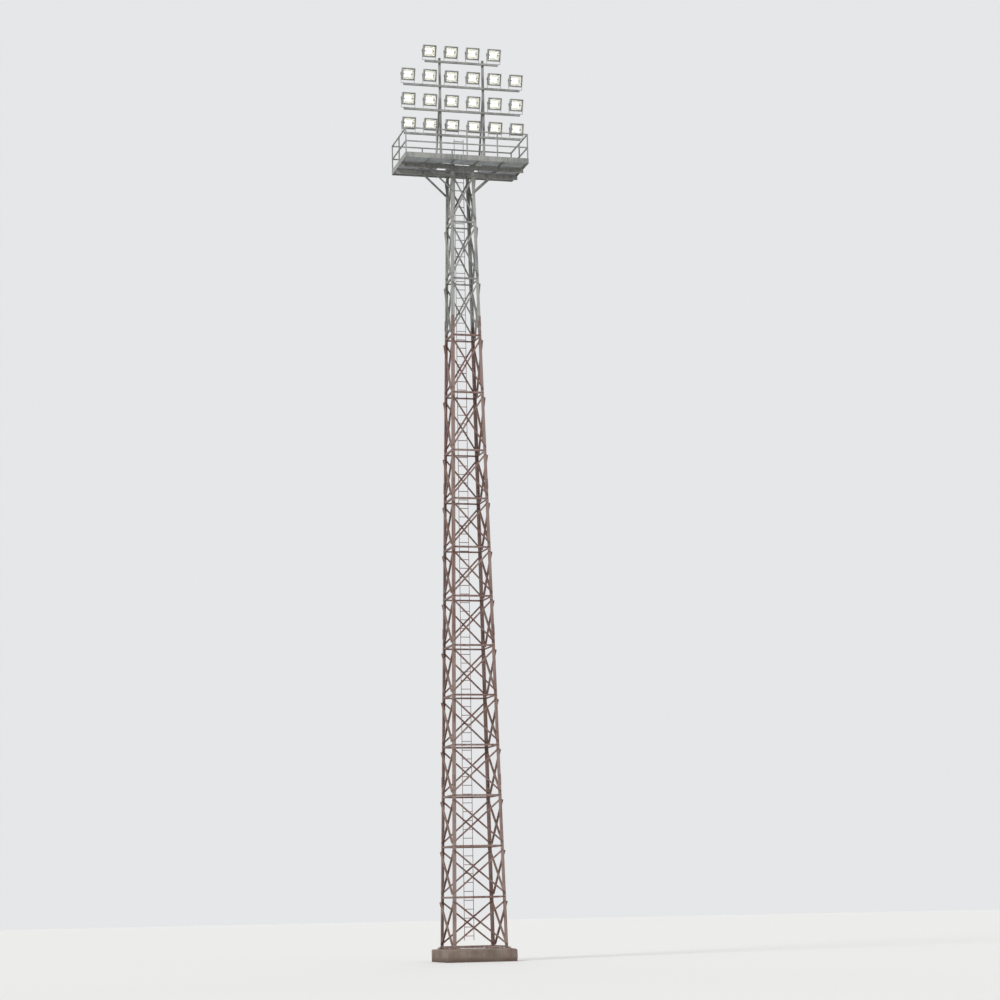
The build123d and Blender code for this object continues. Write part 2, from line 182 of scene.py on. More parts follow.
class PylonPaintSettings(bpy.types.PropertyGroup):
    red: colour_property("Red Oxide", "Sound red oxide paint", 0.44, 0.305, 0.275)
    red_faded: colour_property("Faded Red", "Chalky, sun-bleached red oxide paint", 0.585, 0.50, 0.475)
    grey: colour_property("Grey", "Sound grey paint", 0.50, 0.505, 0.50)
    grey_faded: colour_property("Faded Grey", "Chalky grey paint", 0.66, 0.66, 0.645)
    rust: colour_property("Rust", "Bare rusted steel", 0.34, 0.185, 0.11)
    dust: colour_property("Dust", "Pale dust on ledges", 0.60, 0.545, 0.475)
    fade: share_property("Fading", "Share of the paint that has turned chalky", 0.55)
    rust_share: share_property("Rusting", "How far rust has spread", 0.42)
    dust_share: share_property("Dust", "How thick dust lies on ledges", 0.55)
    wear_width: length_property("Edge Wear", "Width of the worn paint along edges", 0.006)


class PylonConcreteSettings(bpy.types.PropertyGroup):
    concrete: colour_property("Concrete", "Dry cast concrete", 0.585, 0.525, 0.48)
    damp: colour_property("Damp", "Damp and dirty concrete", 0.355, 0.295, 0.26)
    grid: length_property("Grid", "Spacing of the points on the cast faces", 0.04)
    board_width: length_property("Board Width", "Width of the formwork boards", 0.20)
    unevenness: length_property("Unevenness", "Depth of the hollows in the faces", 0.003)
    chip_depth: length_property("Chip Depth", "Depth of the deepest chips on the edges", 0.018)


class PylonFixingSettings(bpy.types.PropertyGroup):
    across_flats: length_property("Across Flats", "Width of the bracing bolts' heads", 0.024)
    head_height: length_property("Head Height", "Height of the bracing bolts' heads", 0.010)
    nut_height: length_property("Nut Height", "Height of the bracing bolts' nuts", 0.013)
    washer_radius: length_property("Washer Radius", "Radius of the bracing bolts' washers", 0.015)
    anchor_flats: length_property("Anchor Flats", "Width of the anchor bolts' nuts", 0.036)
    small_flats: length_property("Small Flats", "Width of the platform and lamp bolts' heads", 0.019)
    weld_radius: length_property("Weld Radius", "Radius of the weld beads", 0.006)
    seed: IntProperty(name="Seed", description="Seed of the bolts' turn about their axes", default=7)


class PylonGratingSettings(bpy.types.PropertyGroup):
    bar_pitch: length_property("Bar Pitch", "Spacing of the bearing bars", 0.034)
    bar_thickness: length_property("Bar Thickness", "Thickness of the bearing bars", 0.003)
    rod_pitch: length_property("Rod Pitch", "Spacing of the cross rods", 0.100)
    rod_size: length_property("Rod Size", "Width of the cross rods", 0.006)


class PylonLampSettings(bpy.types.PropertyGroup):
    casting: colour_property("Casting", "Dull aluminium of the lamp bodies", 0.72, 0.725, 0.72)
    glow: colour_property("Glow", "Light inside the lit lamps", 1.0, 0.985, 0.94)
    tube_strength: FloatProperty(name="Tube Strength", description="Brightness of the arc tubes",
                                 min=0, default=5.0)
    bowl_strength: FloatProperty(name="Bowl Strength", description="Brightness of the lit reflectors",
                                 min=0, default=0.8)
    bowl_depth: length_property("Bowl Depth", "Depth of the reflectors", 0.205)
    tube_radius: length_property("Tube Radius", "Radius of the lamp tubes", 0.023)
    tube_length: length_property("Tube Length", "Length of the lamp tubes", 0.220)


class PylonStageSettings(bpy.types.PropertyGroup):
    floor: colour_property("Floor", "Pale studio floor", 0.89, 0.89, 0.885)
    floor_bounce: colour_property("Floor Bounce", "Light that the floor throws back", 0.70, 0.70, 0.69)
    backdrop: colour_property("Backdrop", "Pale backdrop", 0.90, 0.905, 0.91)
    distance: length_property("Distance", "From the tower's axis to the camera, along the ground", 85.742)
    height: length_property("Height", "Height of the camera over the ground", 1.66)
    azimuth: angle_property("Azimuth", "Place of the camera round the tower", -0.24207)
    pan: angle_property("Pan", "Turn of the camera off the tower's axis", -0.01380)
    pitch: angle_property("Pitch", "Tilt of the camera above the horizon", 0.16294)
    roll: angle_property("Roll", "Turn of the camera about its own axis", -0.02053)
    lens: FloatProperty(name="Lens", description="Focal length", unit="CAMERA", default=90.0)


# Small tools for meshes


def mesh_from(bm, name):
    """The plain mesh of some bmesh work, with its faces turned outwards."""
    bmesh.ops.recalc_face_normals(bm, faces=bm.faces)
    mesh = bpy.data.meshes.new(name)
    bm.to_mesh(mesh)
    bm.free()
    return mesh


def add_piece(name, mesh, coating):
    """A piece of the pylon that rides on its one body."""
    piece = bpy.data.objects.new(name, mesh)
    bpy.context.scene.collection.objects.link(piece)
    mesh.materials.clear()
    mesh.materials.append(coating)
    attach(piece, "root")
    return piece


def add_box(bm, low, high, bevel=0.0):
    """A box from its lowest to its highest corner, with broken edges."""
    low = Vector(low)
    high = Vector(high)
    middle = Matrix.Translation((low + high) / 2)
    size = Matrix.Diagonal((*(high - low), 1))
    made = bmesh.ops.create_cube(bm, size=1, matrix=middle @ size)
    if bevel:
        edges = {edge for vertex in made["verts"] for edge in vertex.link_edges}
        bmesh.ops.bevel(bm, geom=list(edges), offset=bevel, segments=1, affect="EDGES")


def add_prism(bm, outline, depth, placed):
    """A flat outline in a placed XY plane, given a depth along its Z."""
    rings = [[bm.verts.new(placed @ Vector((x, y, z))) for x, y in outline] for z in (0, depth)]
    bm.faces.new(rings[0])
    bm.faces.new(rings[1])
    bridge(bm, rings[0], rings[1])


def cut_across_x(x):
    """Places a flat outline on edge: its first measure along Y, its second
    along Z, and its depth along X from the given place."""
    return Matrix(((0, 0, 1, x), (1, 0, 0, 0), (0, 1, 0, 0), (0, 0, 0, 1)))


def bridge(bm, first, second):
    """Faces between two closed rings of as many vertices."""
    count = len(first)
    for index in range(count):
        after = (index + 1) % count
        bm.faces.new((first[index], first[after], second[after], second[index]))


def add_lathe(bm, profile, segments, placed):
    """A turned solid: radii and heights about a placed Z axis."""
    rings = []
    for radius, height in profile:
        turns = [2 * pi * index / segments for index in range(segments)]
        points = [Vector((radius * cos(turn), radius * sin(turn), height)) for turn in turns]
        rings.append([bm.verts.new(placed @ point) for point in points])
    for first, second in zip(rings, rings[1:]):
        bridge(bm, first, second)
    bm.faces.new(rings[0])
    bm.faces.new(rings[-1])


def places_mesh(name, places):
    """Points for copies, each with the turn of its matrix."""
    mesh = bpy.data.meshes.new(name)
    mesh.from_pydata([place.to_translation() for place in places], [], [])
    turns = mesh.attributes.new("turn", "FLOAT_VECTOR", "POINT")
    for index, place in enumerate(places):
        turns.data[index].vector = place.to_euler()
    return mesh


def lines_mesh(name, lines):
    """A mesh of straight lines only."""
    mesh = bpy.data.meshes.new(name)
    ends = [point for line in lines for point in line]
    mesh.from_pydata(ends, [(2 * index, 2 * index + 1) for index in range(len(lines))], [])
    return mesh


# Small tools for nodes


def put(tree, kind, inputs=None, **settings):
    """A node with its settings, its plain values and its links."""
    made = tree.nodes.new(kind)
    for name, value in settings.items():
        setattr(made, name, value)
    for key, value in (inputs or {}).items():
        if isinstance(value, bpy.types.NodeSocket):
            tree.links.new(value, made.inputs[key])
        else:
            made.inputs[key].default_value = value
    return made


def calc(tree, operation, first, second=0.0, clamp=False):
    made = put(tree, "ShaderNodeMath", {0: first, 1: second}, operation=operation, use_clamp=clamp)
    return made.outputs[0]


def plus(tree, first, second, share, clamp=False):
    """A value with a share of a second one added to it."""
    return calc(tree, "ADD", first, calc(tree, "MULTIPLY", second, share), clamp=clamp)


def remap(tree, value, low, high, to_low=0.0, to_high=1.0):
    """A value between two limits, moved smoothly to between two others."""
    inputs = {"Value": value, "From Min": low, "From Max": high, "To Min": to_low, "To Max": to_high}
    return put(tree, "ShaderNodeMapRange", inputs, interpolation_type="SMOOTHSTEP").outputs["Result"]


def mix(tree, factor, first, second, blend="MIX"):
    made = put(tree, "ShaderNodeMix", {0: factor, 6: first, 7: second}, data_type="RGBA", blend_type=blend)
    return made.outputs[2]


def shaded(tree, colour, shade):
    """A colour made darker or lighter by a value."""
    tint = put(tree, "ShaderNodeCombineColor", {0: shade, 1: shade, 2: shade}).outputs[0]
    return mix(tree, 1.0, colour, tint, "MULTIPLY")


def object_noise(tree, scale, detail=4.0, roughness=0.55, stretch=(1, 1, 1)):
    """Noise on Object coordinates, in cycles to the metre."""
    place = put(tree, "ShaderNodeTexCoord").outputs["Object"]
    place = put(tree, "ShaderNodeMapping", {"Vector": place, "Scale": stretch}).outputs["Vector"]
    inputs = {"Vector": place, "Scale": scale, "Detail": detail, "Roughness": roughness}
    return put(tree, "ShaderNodeTexNoise", inputs).outputs["Fac"]


def new_tree(name, kind, inputs, outputs):
    """A node tree with named inputs and outputs, and its two end nodes."""
    tree = bpy.data.node_groups.new(name, kind)
    for label, socket_type, default in inputs:
        socket = tree.interface.new_socket(label, in_out="INPUT", socket_type="NodeSocket" + socket_type)
        if default is not None:
            socket.default_value = default
    for label, socket_type in outputs:
        tree.interface.new_socket(label, in_out="OUTPUT", socket_type="NodeSocket" + socket_type)
    given = tree.nodes.new("NodeGroupInput").outputs
    result = tree.nodes.new("NodeGroupOutput").inputs
    return tree, given, result


def grow(name, mesh, tree, coating, slot, **values):
    """Run a geometry tree on a mesh and keep its result as a plain piece. The
    values go to the tree's inputs, by their names in small letters."""
    source = bpy.data.objects.new(name + "_source", mesh)
    bpy.context.scene.collection.objects.link(source)
    modifier = source.modifiers.new("Build", "NODES")
    modifier.node_group = tree
    values["finish"] = coating
    for item in tree.interface.items_tree:
        key = item.name.lower().replace(" ", "_")
        if item.in_out == "INPUT" and key in values:
            modifier[item.identifier] = values[key]
    source.update_tag()
    depsgraph = bpy.context.evaluated_depsgraph_get()
    grown = bpy.data.meshes.new_from_object(source.evaluated_get(depsgraph))
    source.modifiers.clear()
    bpy.data.objects.remove(source)
    bm = bmesh.new()
    bm.from_mesh(grown)
    result = mesh_from(bm, name)
    bpy.data.meshes.remove(grown)
    return add_piece(name, result, coating)


def grow_copies(name, template, places, coating, slot):
    """Copies of one small mesh, placed by matrices, as one piece."""
    model = bpy.data.objects.new(name + "_model", template)
    bpy.context.scene.collection.objects.link(model)
    tree = tree_named("Placed Copies", placed_copies_tree)
    piece = grow(name, places_mesh(name, places), tree, coating, slot, template=model)
    bpy.data.objects.remove(model)
    return piece


def grow_welds(name, lines, coating, slot, **sizes):
    """Weld beads along some lines, as one piece."""
    tree = tree_named("Weld Beads", weld_beads_tree)
    return grow(name, lines_mesh(name, lines), tree, coating, slot, **sizes)


def tree_named(name, make):
    """A node tree, made the first time that it is asked for."""
    return bpy.data.node_groups.get(name) or make()


# Geometry trees


def turn_of_point(tree, spin=None):
    """The turn kept on each point, with a further spin about its own axis."""
    kept = put(tree, "GeometryNodeInputNamedAttribute", {"Name": "turn"}, data_type="FLOAT_VECTOR")
    turn = put(tree, "FunctionNodeEulerToRotation", {0: kept.outputs[0]}).outputs[0]
    if spin is None:
        return turn
    about = put(tree, "FunctionNodeAxisAngleToRotation", {"Axis": (0, 0, 1), "Angle": spin})
    inputs = {"Rotation": turn, "Rotate By": about.outputs[0]}
    return put(tree, "FunctionNodeRotateRotation", inputs, rotation_space="LOCAL").outputs[0]


def finish_tree(tree, geometry, coating, result):
    """Real meshes with their material, as the export needs them."""
    real = put(tree, "GeometryNodeRealizeInstances", {"Geometry": geometry}).outputs[0]
    painted = put(tree, "GeometryNodeSetMaterial", {"Geometry": real, "Material": coating})
    tree.links.new(painted.outputs[0], result[0])


def raised(tree, geometry, height):
    """Geometry moved up along Z."""
    shift = put(tree, "ShaderNodeCombineXYZ", {"Z": height}).outputs[0]
    return put(tree, "GeometryNodeTransform", {"Geometry": geometry, "Translation": shift}).outputs[0]


def hex_fastener_tree():
    """Hexagon heads or nuts with a washer, one on each point, along its Z."""
    inputs = (
        ("Places", "Geometry", None),
        ("Across Flats", "Float", 0.024),
        ("Height", "Float", 0.010),
        ("Washer Radius", "Float", 0.015),
        ("Washer Thickness", "Float", 0.003),
        ("Shank Radius", "Float", 0.008),
        ("Shank Length", "Float", 0.0),
        ("Seed", "Int", 0),
        ("Finish", "Material", None),
    )
    tree, given, result = new_tree("Hex Fastener", "GeometryNodeTree", inputs, (("Fasteners", "Geometry"),))
    thickness = given["Washer Thickness"]
    ring = {"Vertices": 12, "Radius": given["Washer Radius"], "Depth": thickness}
    washer = put(tree, "GeometryNodeMeshCylinder", ring).outputs["Mesh"]
    washer = raised(tree, washer, calc(tree, "MULTIPLY", thickness, 0.5))

    radius = calc(tree, "DIVIDE", given["Across Flats"], sqrt(3))
    crown_share = 0.18
    straight = calc(tree, "MULTIPLY", given["Height"], 1 - crown_share)
    prism = put(tree, "GeometryNodeMeshCylinder", {"Vertices": 6, "Radius": radius, "Depth": straight})
    crown = {
        "Mesh": prism.outputs["Mesh"],
        "Selection": prism.outputs["Top"],
        "Offset Scale": calc(tree, "MULTIPLY", given["Height"], crown_share),
    }
    crowned = put(tree, "GeometryNodeExtrudeMesh", crown)
    narrow = {"Geometry": crowned.outputs["Mesh"], "Selection": crowned.outputs["Top"], "Scale": 0.84}
    head = put(tree, "GeometryNodeScaleElements", narrow).outputs[0]
    head = raised(tree, head, plus(tree, thickness, straight, 0.5))

    shank_length = given["Shank Length"]
    rod = {"Vertices": 8, "Radius": given["Shank Radius"], "Depth": shank_length}
    shank = put(tree, "GeometryNodeMeshCylinder", rod).outputs["Mesh"]
    seat = calc(tree, "ADD", thickness, given["Height"])
    shank = raised(tree, shank, plus(tree, seat, shank_length, 0.5))
    shown = calc(tree, "GREATER_THAN", shank_length, 0.0001)
    choice = put(tree, "GeometryNodeSwitch", {"Switch": shown, "True": shank}, input_type="GEOMETRY")

    parts = put(tree, "GeometryNodeJoinGeometry")
    for part in (washer, head, choice.outputs[0]):
        tree.links.new(part, parts.inputs[0])
    spin = put(tree, "FunctionNodeRandomValue", {"Min": 0.0, "Max": pi / 3, "Seed": given["Seed"]},
               data_type="FLOAT")
    inputs = {
        "Points": given["Places"],
        "Instance": parts.outputs[0],
        "Rotation": turn_of_point(tree, spin.outputs["Value"]),
    }
    placed = put(tree, "GeometryNodeInstanceOnPoints", inputs).outputs[0]
    finish_tree(tree, placed, given["Finish"], result)
    return tree


def placed_copies_tree():
    """Copies of a template object, one on each point."""
    inputs = (("Places", "Geometry", None), ("Template", "Object", None), ("Finish", "Material", None))
    tree, given, result = new_tree("Placed Copies", "GeometryNodeTree", inputs, (("Copies", "Geometry"),))
    template = put(tree, "GeometryNodeObjectInfo", {"Object": given["Template"]})
    inputs = {
        "Points": given["Places"],
        "Instance": template.outputs["Geometry"],
        "Rotation": turn_of_point(tree),
    }
    placed = put(tree, "GeometryNodeInstanceOnPoints", inputs).outputs[0]
    finish_tree(tree, placed, given["Finish"], result)
    return tree


def bars_tree():
    """A flat bar along each line, its height along Z."""
    inputs = (
        ("Lines", "Geometry", None),
        ("Width", "Float", 0.003),
        ("Height", "Float", 0.025),
        ("Finish", "Material", None),
    )
    tree, given, result = new_tree("Bars On Lines", "GeometryNodeTree", inputs, (("Bars", "Geometry"),))
    curves = put(tree, "GeometryNodeMeshToCurve", {"Mesh": given["Lines"]}).outputs[0]
    curves = put(tree, "GeometryNodeSetCurveNormal", {"Curve": curves}, mode="Z_UP").outputs[0]
    section = put(tree, "GeometryNodeCurvePrimitiveQuadrilateral",
                  {"Width": given["Width"], "Height": given["Height"]}).outputs[0]
    swept = {"Curve": curves, "Profile Curve": section, "Fill Caps": True}
    bars = put(tree, "GeometryNodeCurveToMesh", swept).outputs[0]
    finish_tree(tree, bars, given["Finish"], result)
    return tree


def weld_beads_tree():
    """A rippled bead along each line."""
    inputs = (
        ("Lines", "Geometry", None),
        ("Radius", "Float", 0.006),
        ("Ripple", "Float", 0.22),
        ("Step", "Float", 0.004),
        ("Finish", "Material", None),
    )
    tree, given, result = new_tree("Weld Beads", "GeometryNodeTree", inputs, (("Beads", "Geometry"),))
    curves = put(tree, "GeometryNodeMeshToCurve", {"Mesh": given["Lines"]}).outputs[0]
    resampled = {"Curve": curves, "Length": given["Step"]}
    curves = put(tree, "GeometryNodeResampleCurve", resampled, mode="LENGTH").outputs[0]
    count = put(tree, "GeometryNodeInputIndex").outputs[0]
    wave = calc(tree, "MULTIPLY", calc(tree, "SINE", calc(tree, "MULTIPLY", count, 2.1)), given["Ripple"])
    radius = {"Curve": curves, "Radius": calc(tree, "ADD", wave, 1.0)}
    curves = put(tree, "GeometryNodeSetCurveRadius", radius).outputs[0]
    section = put(tree, "GeometryNodeCurvePrimitiveCircle", {"Resolution": 6, "Radius": given["Radius"]})
    swept = {
        "Curve": curves,
        "Profile Curve": section.outputs[0],
        "Scale": put(tree, "GeometryNodeInputRadius").outputs[0],
        "Fill Caps": True,
    }
    beads = put(tree, "GeometryNodeCurveToMesh", swept).outputs[0]
    finish_tree(tree, beads, given["Finish"], result)
    return tree


# Shader groups that several finishes share


def group_mask(tree, name, make, inputs):
    """The mask of one of the groups, placed in a tree with its own values."""
    return put(tree, "ShaderNodeGroup", inputs, node_tree=tree_named(name, make)).outputs["Mask"]


def edge_wear_group():
    """A mask along sharp edges, broken by noise."""
    inputs = (("Width", "Float", 0.006), ("Wear", "Float", 0.5))
    tree, given, result = new_tree("Edge Wear", "ShaderNodeTree", inputs, (("Mask", "Float"),))
    rounded = put(tree, "ShaderNodeBevel", {"Radius": given["Width"]}, samples=4).outputs[0]
    true = put(tree, "ShaderNodeNewGeometry").outputs["Normal"]
    along = put(tree, "ShaderNodeVectorMath", {0: rounded, 1: true}, operation="DOT_PRODUCT")
    bend = calc(tree, "SUBTRACT", 1.0, along.outputs["Value"])
    edge = remap(tree, bend, 0.01, 0.16)
    broken = remap(tree, object_noise(tree, 26.0, 5.0, 0.7), 0.62, 0.40)
    chance = calc(tree, "MULTIPLY", broken, given["Wear"])
    tree.links.new(calc(tree, "MULTIPLY", edge, chance, clamp=True), result["Mask"])
    return tree


def ledge_dust_group():
    """A mask on faces that look up, patchy as settled dust is."""
    inputs = (("Amount", "Float", 0.5),)
    tree, given, result = new_tree("Ledge Dust", "ShaderNodeTree", inputs, (("Mask", "Float"),))
    normal = put(tree, "ShaderNodeNewGeometry").outputs["Normal"]
    upward = put(tree, "ShaderNodeSeparateXYZ", {0: normal}).outputs["Z"]
    ledge = remap(tree, upward, 0.25, 0.9)
    patchy = remap(tree, object_noise(tree, 7.0, 6.0, 0.65), 0.30, 0.62, 0.35, 1.0)
    mask = calc(tree, "MULTIPLY", calc(tree, "MULTIPLY", ledge, patchy), given["Amount"], clamp=True)
    tree.links.new(mask, result["Mask"])
    return tree


def joint_stain_group():
    """Rusty run-off that starts under each tie of the tower and fades as it
    runs down."""
    inputs = (("Run", "Float", 0.55), ("Strength", "Float", 0.6))
    tree, given, result = new_tree("Joint Stain", "ShaderNodeTree", inputs, (("Mask", "Float"),))
    place = put(tree, "ShaderNodeTexCoord").outputs["Object"]
    height = put(tree, "ShaderNodeSeparateXYZ", {0: place}).outputs["Z"]
    bend_level = foot_level + lower_panel_count * lower_panel_height
    over_bend = calc(tree, "SUBTRACT", bend_level, height)
    lower = calc(tree, "FLOORED_MODULO", over_bend, lower_panel_height)
    upper = calc(tree, "FLOORED_MODULO", over_bend, upper_panel_height)
    is_upper = calc(tree, "LESS_THAN", over_bend, 0.0)
    drop = put(tree, "ShaderNodeMix", {0: is_upper, 2: lower, 3: upper}, data_type="FLOAT").outputs[0]
    fading = put(tree, "ShaderNodeMapRange", {"Value": drop, "From Min": 0.0, "From Max": given["Run"],
                                              "To Min": 1.0, "To Max": 0.0}).outputs["Result"]
    streak = remap(tree, object_noise(tree, 1.0, 5.0, 0.6, (34, 34, 1.3)), 0.46, 0.66)
    mask = calc(tree, "MULTIPLY", calc(tree, "MULTIPLY", fading, streak), given["Strength"], clamp=True)
    tree.links.new(mask, result["Mask"])
    return tree


def weathered_paint_group():
    """Old paint on steel: chalky patches, streaks, rust and dust."""
    inputs = (
        ("Paint", "Color", None),
        ("Faded Paint", "Color", None),
        ("Rust", "Color", None),
        ("Dust", "Color", None),
        ("Fading", "Float", 0.5),
        ("Rusting", "Float", 0.4),
        ("Dust Amount", "Float", 0.5),
        ("Edge Width", "Float", 0.006),
    )
    outputs = (("Color", "Color"), ("Roughness", "Float"), ("Height", "Float"))
    tree, given, result = new_tree("Weathered Paint", "ShaderNodeTree", inputs, outputs)
    patches = object_noise(tree, 0.9, 6.0, 0.62)
    streaks = object_noise(tree, 1.0, 6.0, 0.6, (13, 13, 0.6))
    grain = object_noise(tree, 46.0, 5.0, 0.7)

    blotches = plus(tree, calc(tree, "MULTIPLY", patches, 0.55), streaks, 0.45)
    reach = calc(tree, "MULTIPLY", given["Fading"], 0.22)
    start = calc(tree, "SUBTRACT", 0.62, reach)
    chalky = remap(tree, blotches, calc(tree, "SUBTRACT", start, 0.08), calc(tree, "ADD", start, 0.08))
    coat = mix(tree, chalky, given["Paint"], given["Faded Paint"])
    coat = shaded(tree, coat, remap(tree, grain, 0.25, 0.75, 0.86, 1.10))
    grime = remap(tree, object_noise(tree, 1.0, 6.0, 0.65, (21, 21, 0.9)), 0.52, 0.72, 0.0, 0.45)
    coat = mix(tree, grime, coat, (0.085, 0.070, 0.060, 1.0))

    wear = group_mask(tree, "Edge Wear", edge_wear_group, {"Width": given["Edge Width"], "Wear": 0.8})
    stain = group_mask(tree, "Joint Stain", joint_stain_group, {"Strength": given["Rusting"]})
    coat = mix(tree, calc(tree, "MULTIPLY", stain, 0.75), coat, given["Rust"])

    field = plus(tree, object_noise(tree, 5.5, 9.0, 0.72), wear, 0.20)
    field = plus(tree, field, stain, 0.16)
    limit = calc(tree, "SUBTRACT", 0.745, calc(tree, "MULTIPLY", given["Rusting"], 0.30))
    rusty = remap(tree, field, limit, calc(tree, "ADD", limit, 0.035))
    dark = mix(tree, remap(tree, grain, 0.35, 0.65), given["Rust"], (0.035, 0.017, 0.011, 1.0))
    light = mix(tree, remap(tree, grain, 0.55, 0.75), dark, (0.30, 0.125, 0.045, 1.0))
    coat = mix(tree, rusty, coat, light)

    dust = group_mask(tree, "Ledge Dust", ledge_dust_group, {"Amount": given["Dust Amount"]})
    coat = mix(tree, dust, coat, given["Dust"])

    rough = remap(tree, chalky, 0.0, 1.0, 0.50, 0.72)
    rough = plus(tree, rough, rusty, 0.20)
    rough = plus(tree, rough, dust, 0.15, clamp=True)
    flakes = calc(tree, "MULTIPLY", rusty, calc(tree, "SUBTRACT", grain, 0.9))
    height = plus(tree, flakes, grain, 0.12)
    tree.links.new(coat, result["Color"])
    tree.links.new(rough, result["Roughness"])
    tree.links.new(height, result["Height"])
    return tree


def bare_metal_group():
    """Bare metal that has stood outside: spangle or cast grain, dull stains,
    run-off and dust."""
    inputs = (
        ("Metal", "Color", None),
        ("Stain", "Color", None),
        ("Dust", "Color", None),
        ("Grain Scale", "Float", 60.0),
        ("Staining", "Float", 0.5),
        ("Dust Amount", "Float", 0.4),
        ("Dull", "Float", 0.5),
    )
    outputs = (("Color", "Color"), ("Roughness", "Float"), ("Height", "Float"))
    tree, given, result = new_tree("Weathered Metal", "ShaderNodeTree", inputs, outputs)
    place = put(tree, "ShaderNodeTexCoord").outputs["Object"]
    cells = put(tree, "ShaderNodeTexVoronoi", {"Vector": place, "Scale": given["Grain Scale"]})
    flake = put(tree, "ShaderNodeSeparateColor", {0: cells.outputs["Color"]}).outputs[0]
    metal = shaded(tree, given["Metal"], remap(tree, flake, 0.0, 1.0, 0.90, 1.06))

    patches = object_noise(tree, 2.4, 7.0, 0.66)
    streaks = object_noise(tree, 1.0, 6.0, 0.6, (26, 26, 1.6))
    dirt = plus(tree, calc(tree, "MULTIPLY", patches, 0.5), streaks, 0.5)
    dirty = calc(tree, "MULTIPLY", remap(tree, dirt, 0.42, 0.66), given["Staining"])
    metal = mix(tree, dirty, metal, given["Stain"])
    dust = group_mask(tree, "Ledge Dust", ledge_dust_group, {"Amount": given["Dust Amount"]})
    metal = mix(tree, dust, metal, given["Dust"])

    rough = plus(tree, given["Dull"], dirty, 0.25)
    rough = plus(tree, rough, flake, 0.08)
    rough = plus(tree, rough, dust, 0.3, clamp=True)
    grain = object_noise(tree, 130.0, 3.0, 0.6)
    height = plus(tree, calc(tree, "MULTIPLY", grain, 0.5), patches, 0.3)
    tree.links.new(metal, result["Color"])
    tree.links.new(rough, result["Roughness"])
    tree.links.new(height, result["Height"])
    return tree


# Finishes


def new_material(name, even_values):
    """A material, its tree and its shader, on which even values are set."""
    material = bpy.data.materials.new(name)
    material.use_nodes = True
    shader = material.node_tree.nodes["Principled BSDF"]
    for label, value in even_values.items():
        shader.inputs[label].default_value = value
    return material, material.node_tree, shader


def set_relief(tree, shader, height, distance, strength):
    """Fine relief on a finish, from a height that changes over it."""
    bump = put(tree, "ShaderNodeBump", {"Height": height, "Distance": distance, "Strength": strength})
    tree.links.new(bump.outputs[0], shader.inputs["Normal"])


def surface(name, group, values, bump=0.001, strength=0.6, **even_values):
    """A material whose colour, roughness and relief come from a group."""
    material, tree, shader = new_material(name, even_values)
    effect = put(tree, "ShaderNodeGroup", values, node_tree=group).outputs
    tree.links.new(effect["Color"], shader.inputs["Base Color"])
    tree.links.new(effect["Roughness"], shader.inputs["Roughness"])
    set_relief(tree, shader, effect["Height"], bump, strength)
    return material


def finish(name):
    """A finish by its name, made the first time that it is asked for."""
    return bpy.data.materials.get(name) or FINISHES[name](name)


def painted(name, paint, faded, fade_more, rust_more, dust_more):
    """Weathered paint, more or less worn than the settings say."""
    look = bpy.context.scene.pylon_paint
    values = {
        "Paint": paint,
        "Faded Paint": faded,
        "Rust": look.rust,
        "Dust": look.dust,
        "Fading": look.fade + fade_more,
        "Rusting": look.rust_share + rust_more,
        "Dust Amount": look.dust_share + dust_more,
        "Edge Width": look.wear_width,
    }
    return surface(name, tree_named("Weathered Paint", weathered_paint_group), values)


def tower_paint(name):
    """One of the red and grey paints, worn as PAINTS says."""
    look = bpy.context.scene.pylon_paint
    colour, *more = PAINTS[name]
    return painted(name, getattr(look, colour), getattr(look, colour + "_faded"), *more)


def ladder_paint(name):
    """The ladder is painted with the tower: grey over the last red tie."""
    look = bpy.context.scene.pylon_paint
    material = painted(name, look.red, look.red_faded, -0.15, 0.08, 0.1)
    tree = material.node_tree
    coat = next(made for made in tree.nodes if made.type == "GROUP")
    place = put(tree, "ShaderNodeTexCoord").outputs["Object"]
    height = put(tree, "ShaderNodeSeparateXYZ", {0: place}).outputs["Z"]
    change = foot_level + panel_level(red_panel_count)
    is_grey = calc(tree, "GREATER_THAN", height, change)
    tree.links.new(mix(tree, is_grey, look.red, look.grey), coat.inputs["Paint"])
    tree.links.new(mix(tree, is_grey, look.red_faded, look.grey_faded), coat.inputs["Faded Paint"])
    return material


def bare_metal(name, metal, stain, metallic, **values):
    labels = {label.replace("_", " ").title(): value for label, value in values.items()}
    look = bpy.context.scene.pylon_paint
    labels.update({"Metal": metal, "Stain": stain, "Dust": look.dust})
    group = tree_named("Weathered Metal", bare_metal_group)
    return surface(name, group, labels, 0.0006, 0.4, Metallic=metallic)


def galvanised(name):
    return bare_metal(name, srgb(0.66, 0.675, 0.68), srgb(0.40, 0.385, 0.36), 0.7,
                      grain_scale=70.0, staining=0.55, dust_amount=0.5, dull=0.42)


def dull_casting(name):
    look = bpy.context.scene.pylon_lamps
    return bare_metal(name, look.casting, srgb(0.46, 0.45, 0.43), 0.6,
                      grain_scale=240.0, staining=0.5, dust_amount=0.5, dull=0.4)


def plain(name, colour, roughness, scale=30.0, spread=0.15, bump=0.0004, **even_values):
    """A simple finish whose colour and gloss drift a little."""
    material, tree, shader = new_material(name, even_values)
    drift = object_noise(tree, scale, 5.0, 0.6)
    darker = [c * (1 - spread) for c in colour[:3]] + [1.0]
    tree.links.new(mix(tree, remap(tree, drift, 0.3, 0.7), colour, darker), shader.inputs["Base Color"])
    rough = remap(tree, drift, 0.3, 0.7, roughness * 0.8, min(1.0, roughness * 1.2))
    tree.links.new(rough, shader.inputs["Roughness"])
    set_relief(tree, shader, drift, bump, 0.5)
    return material


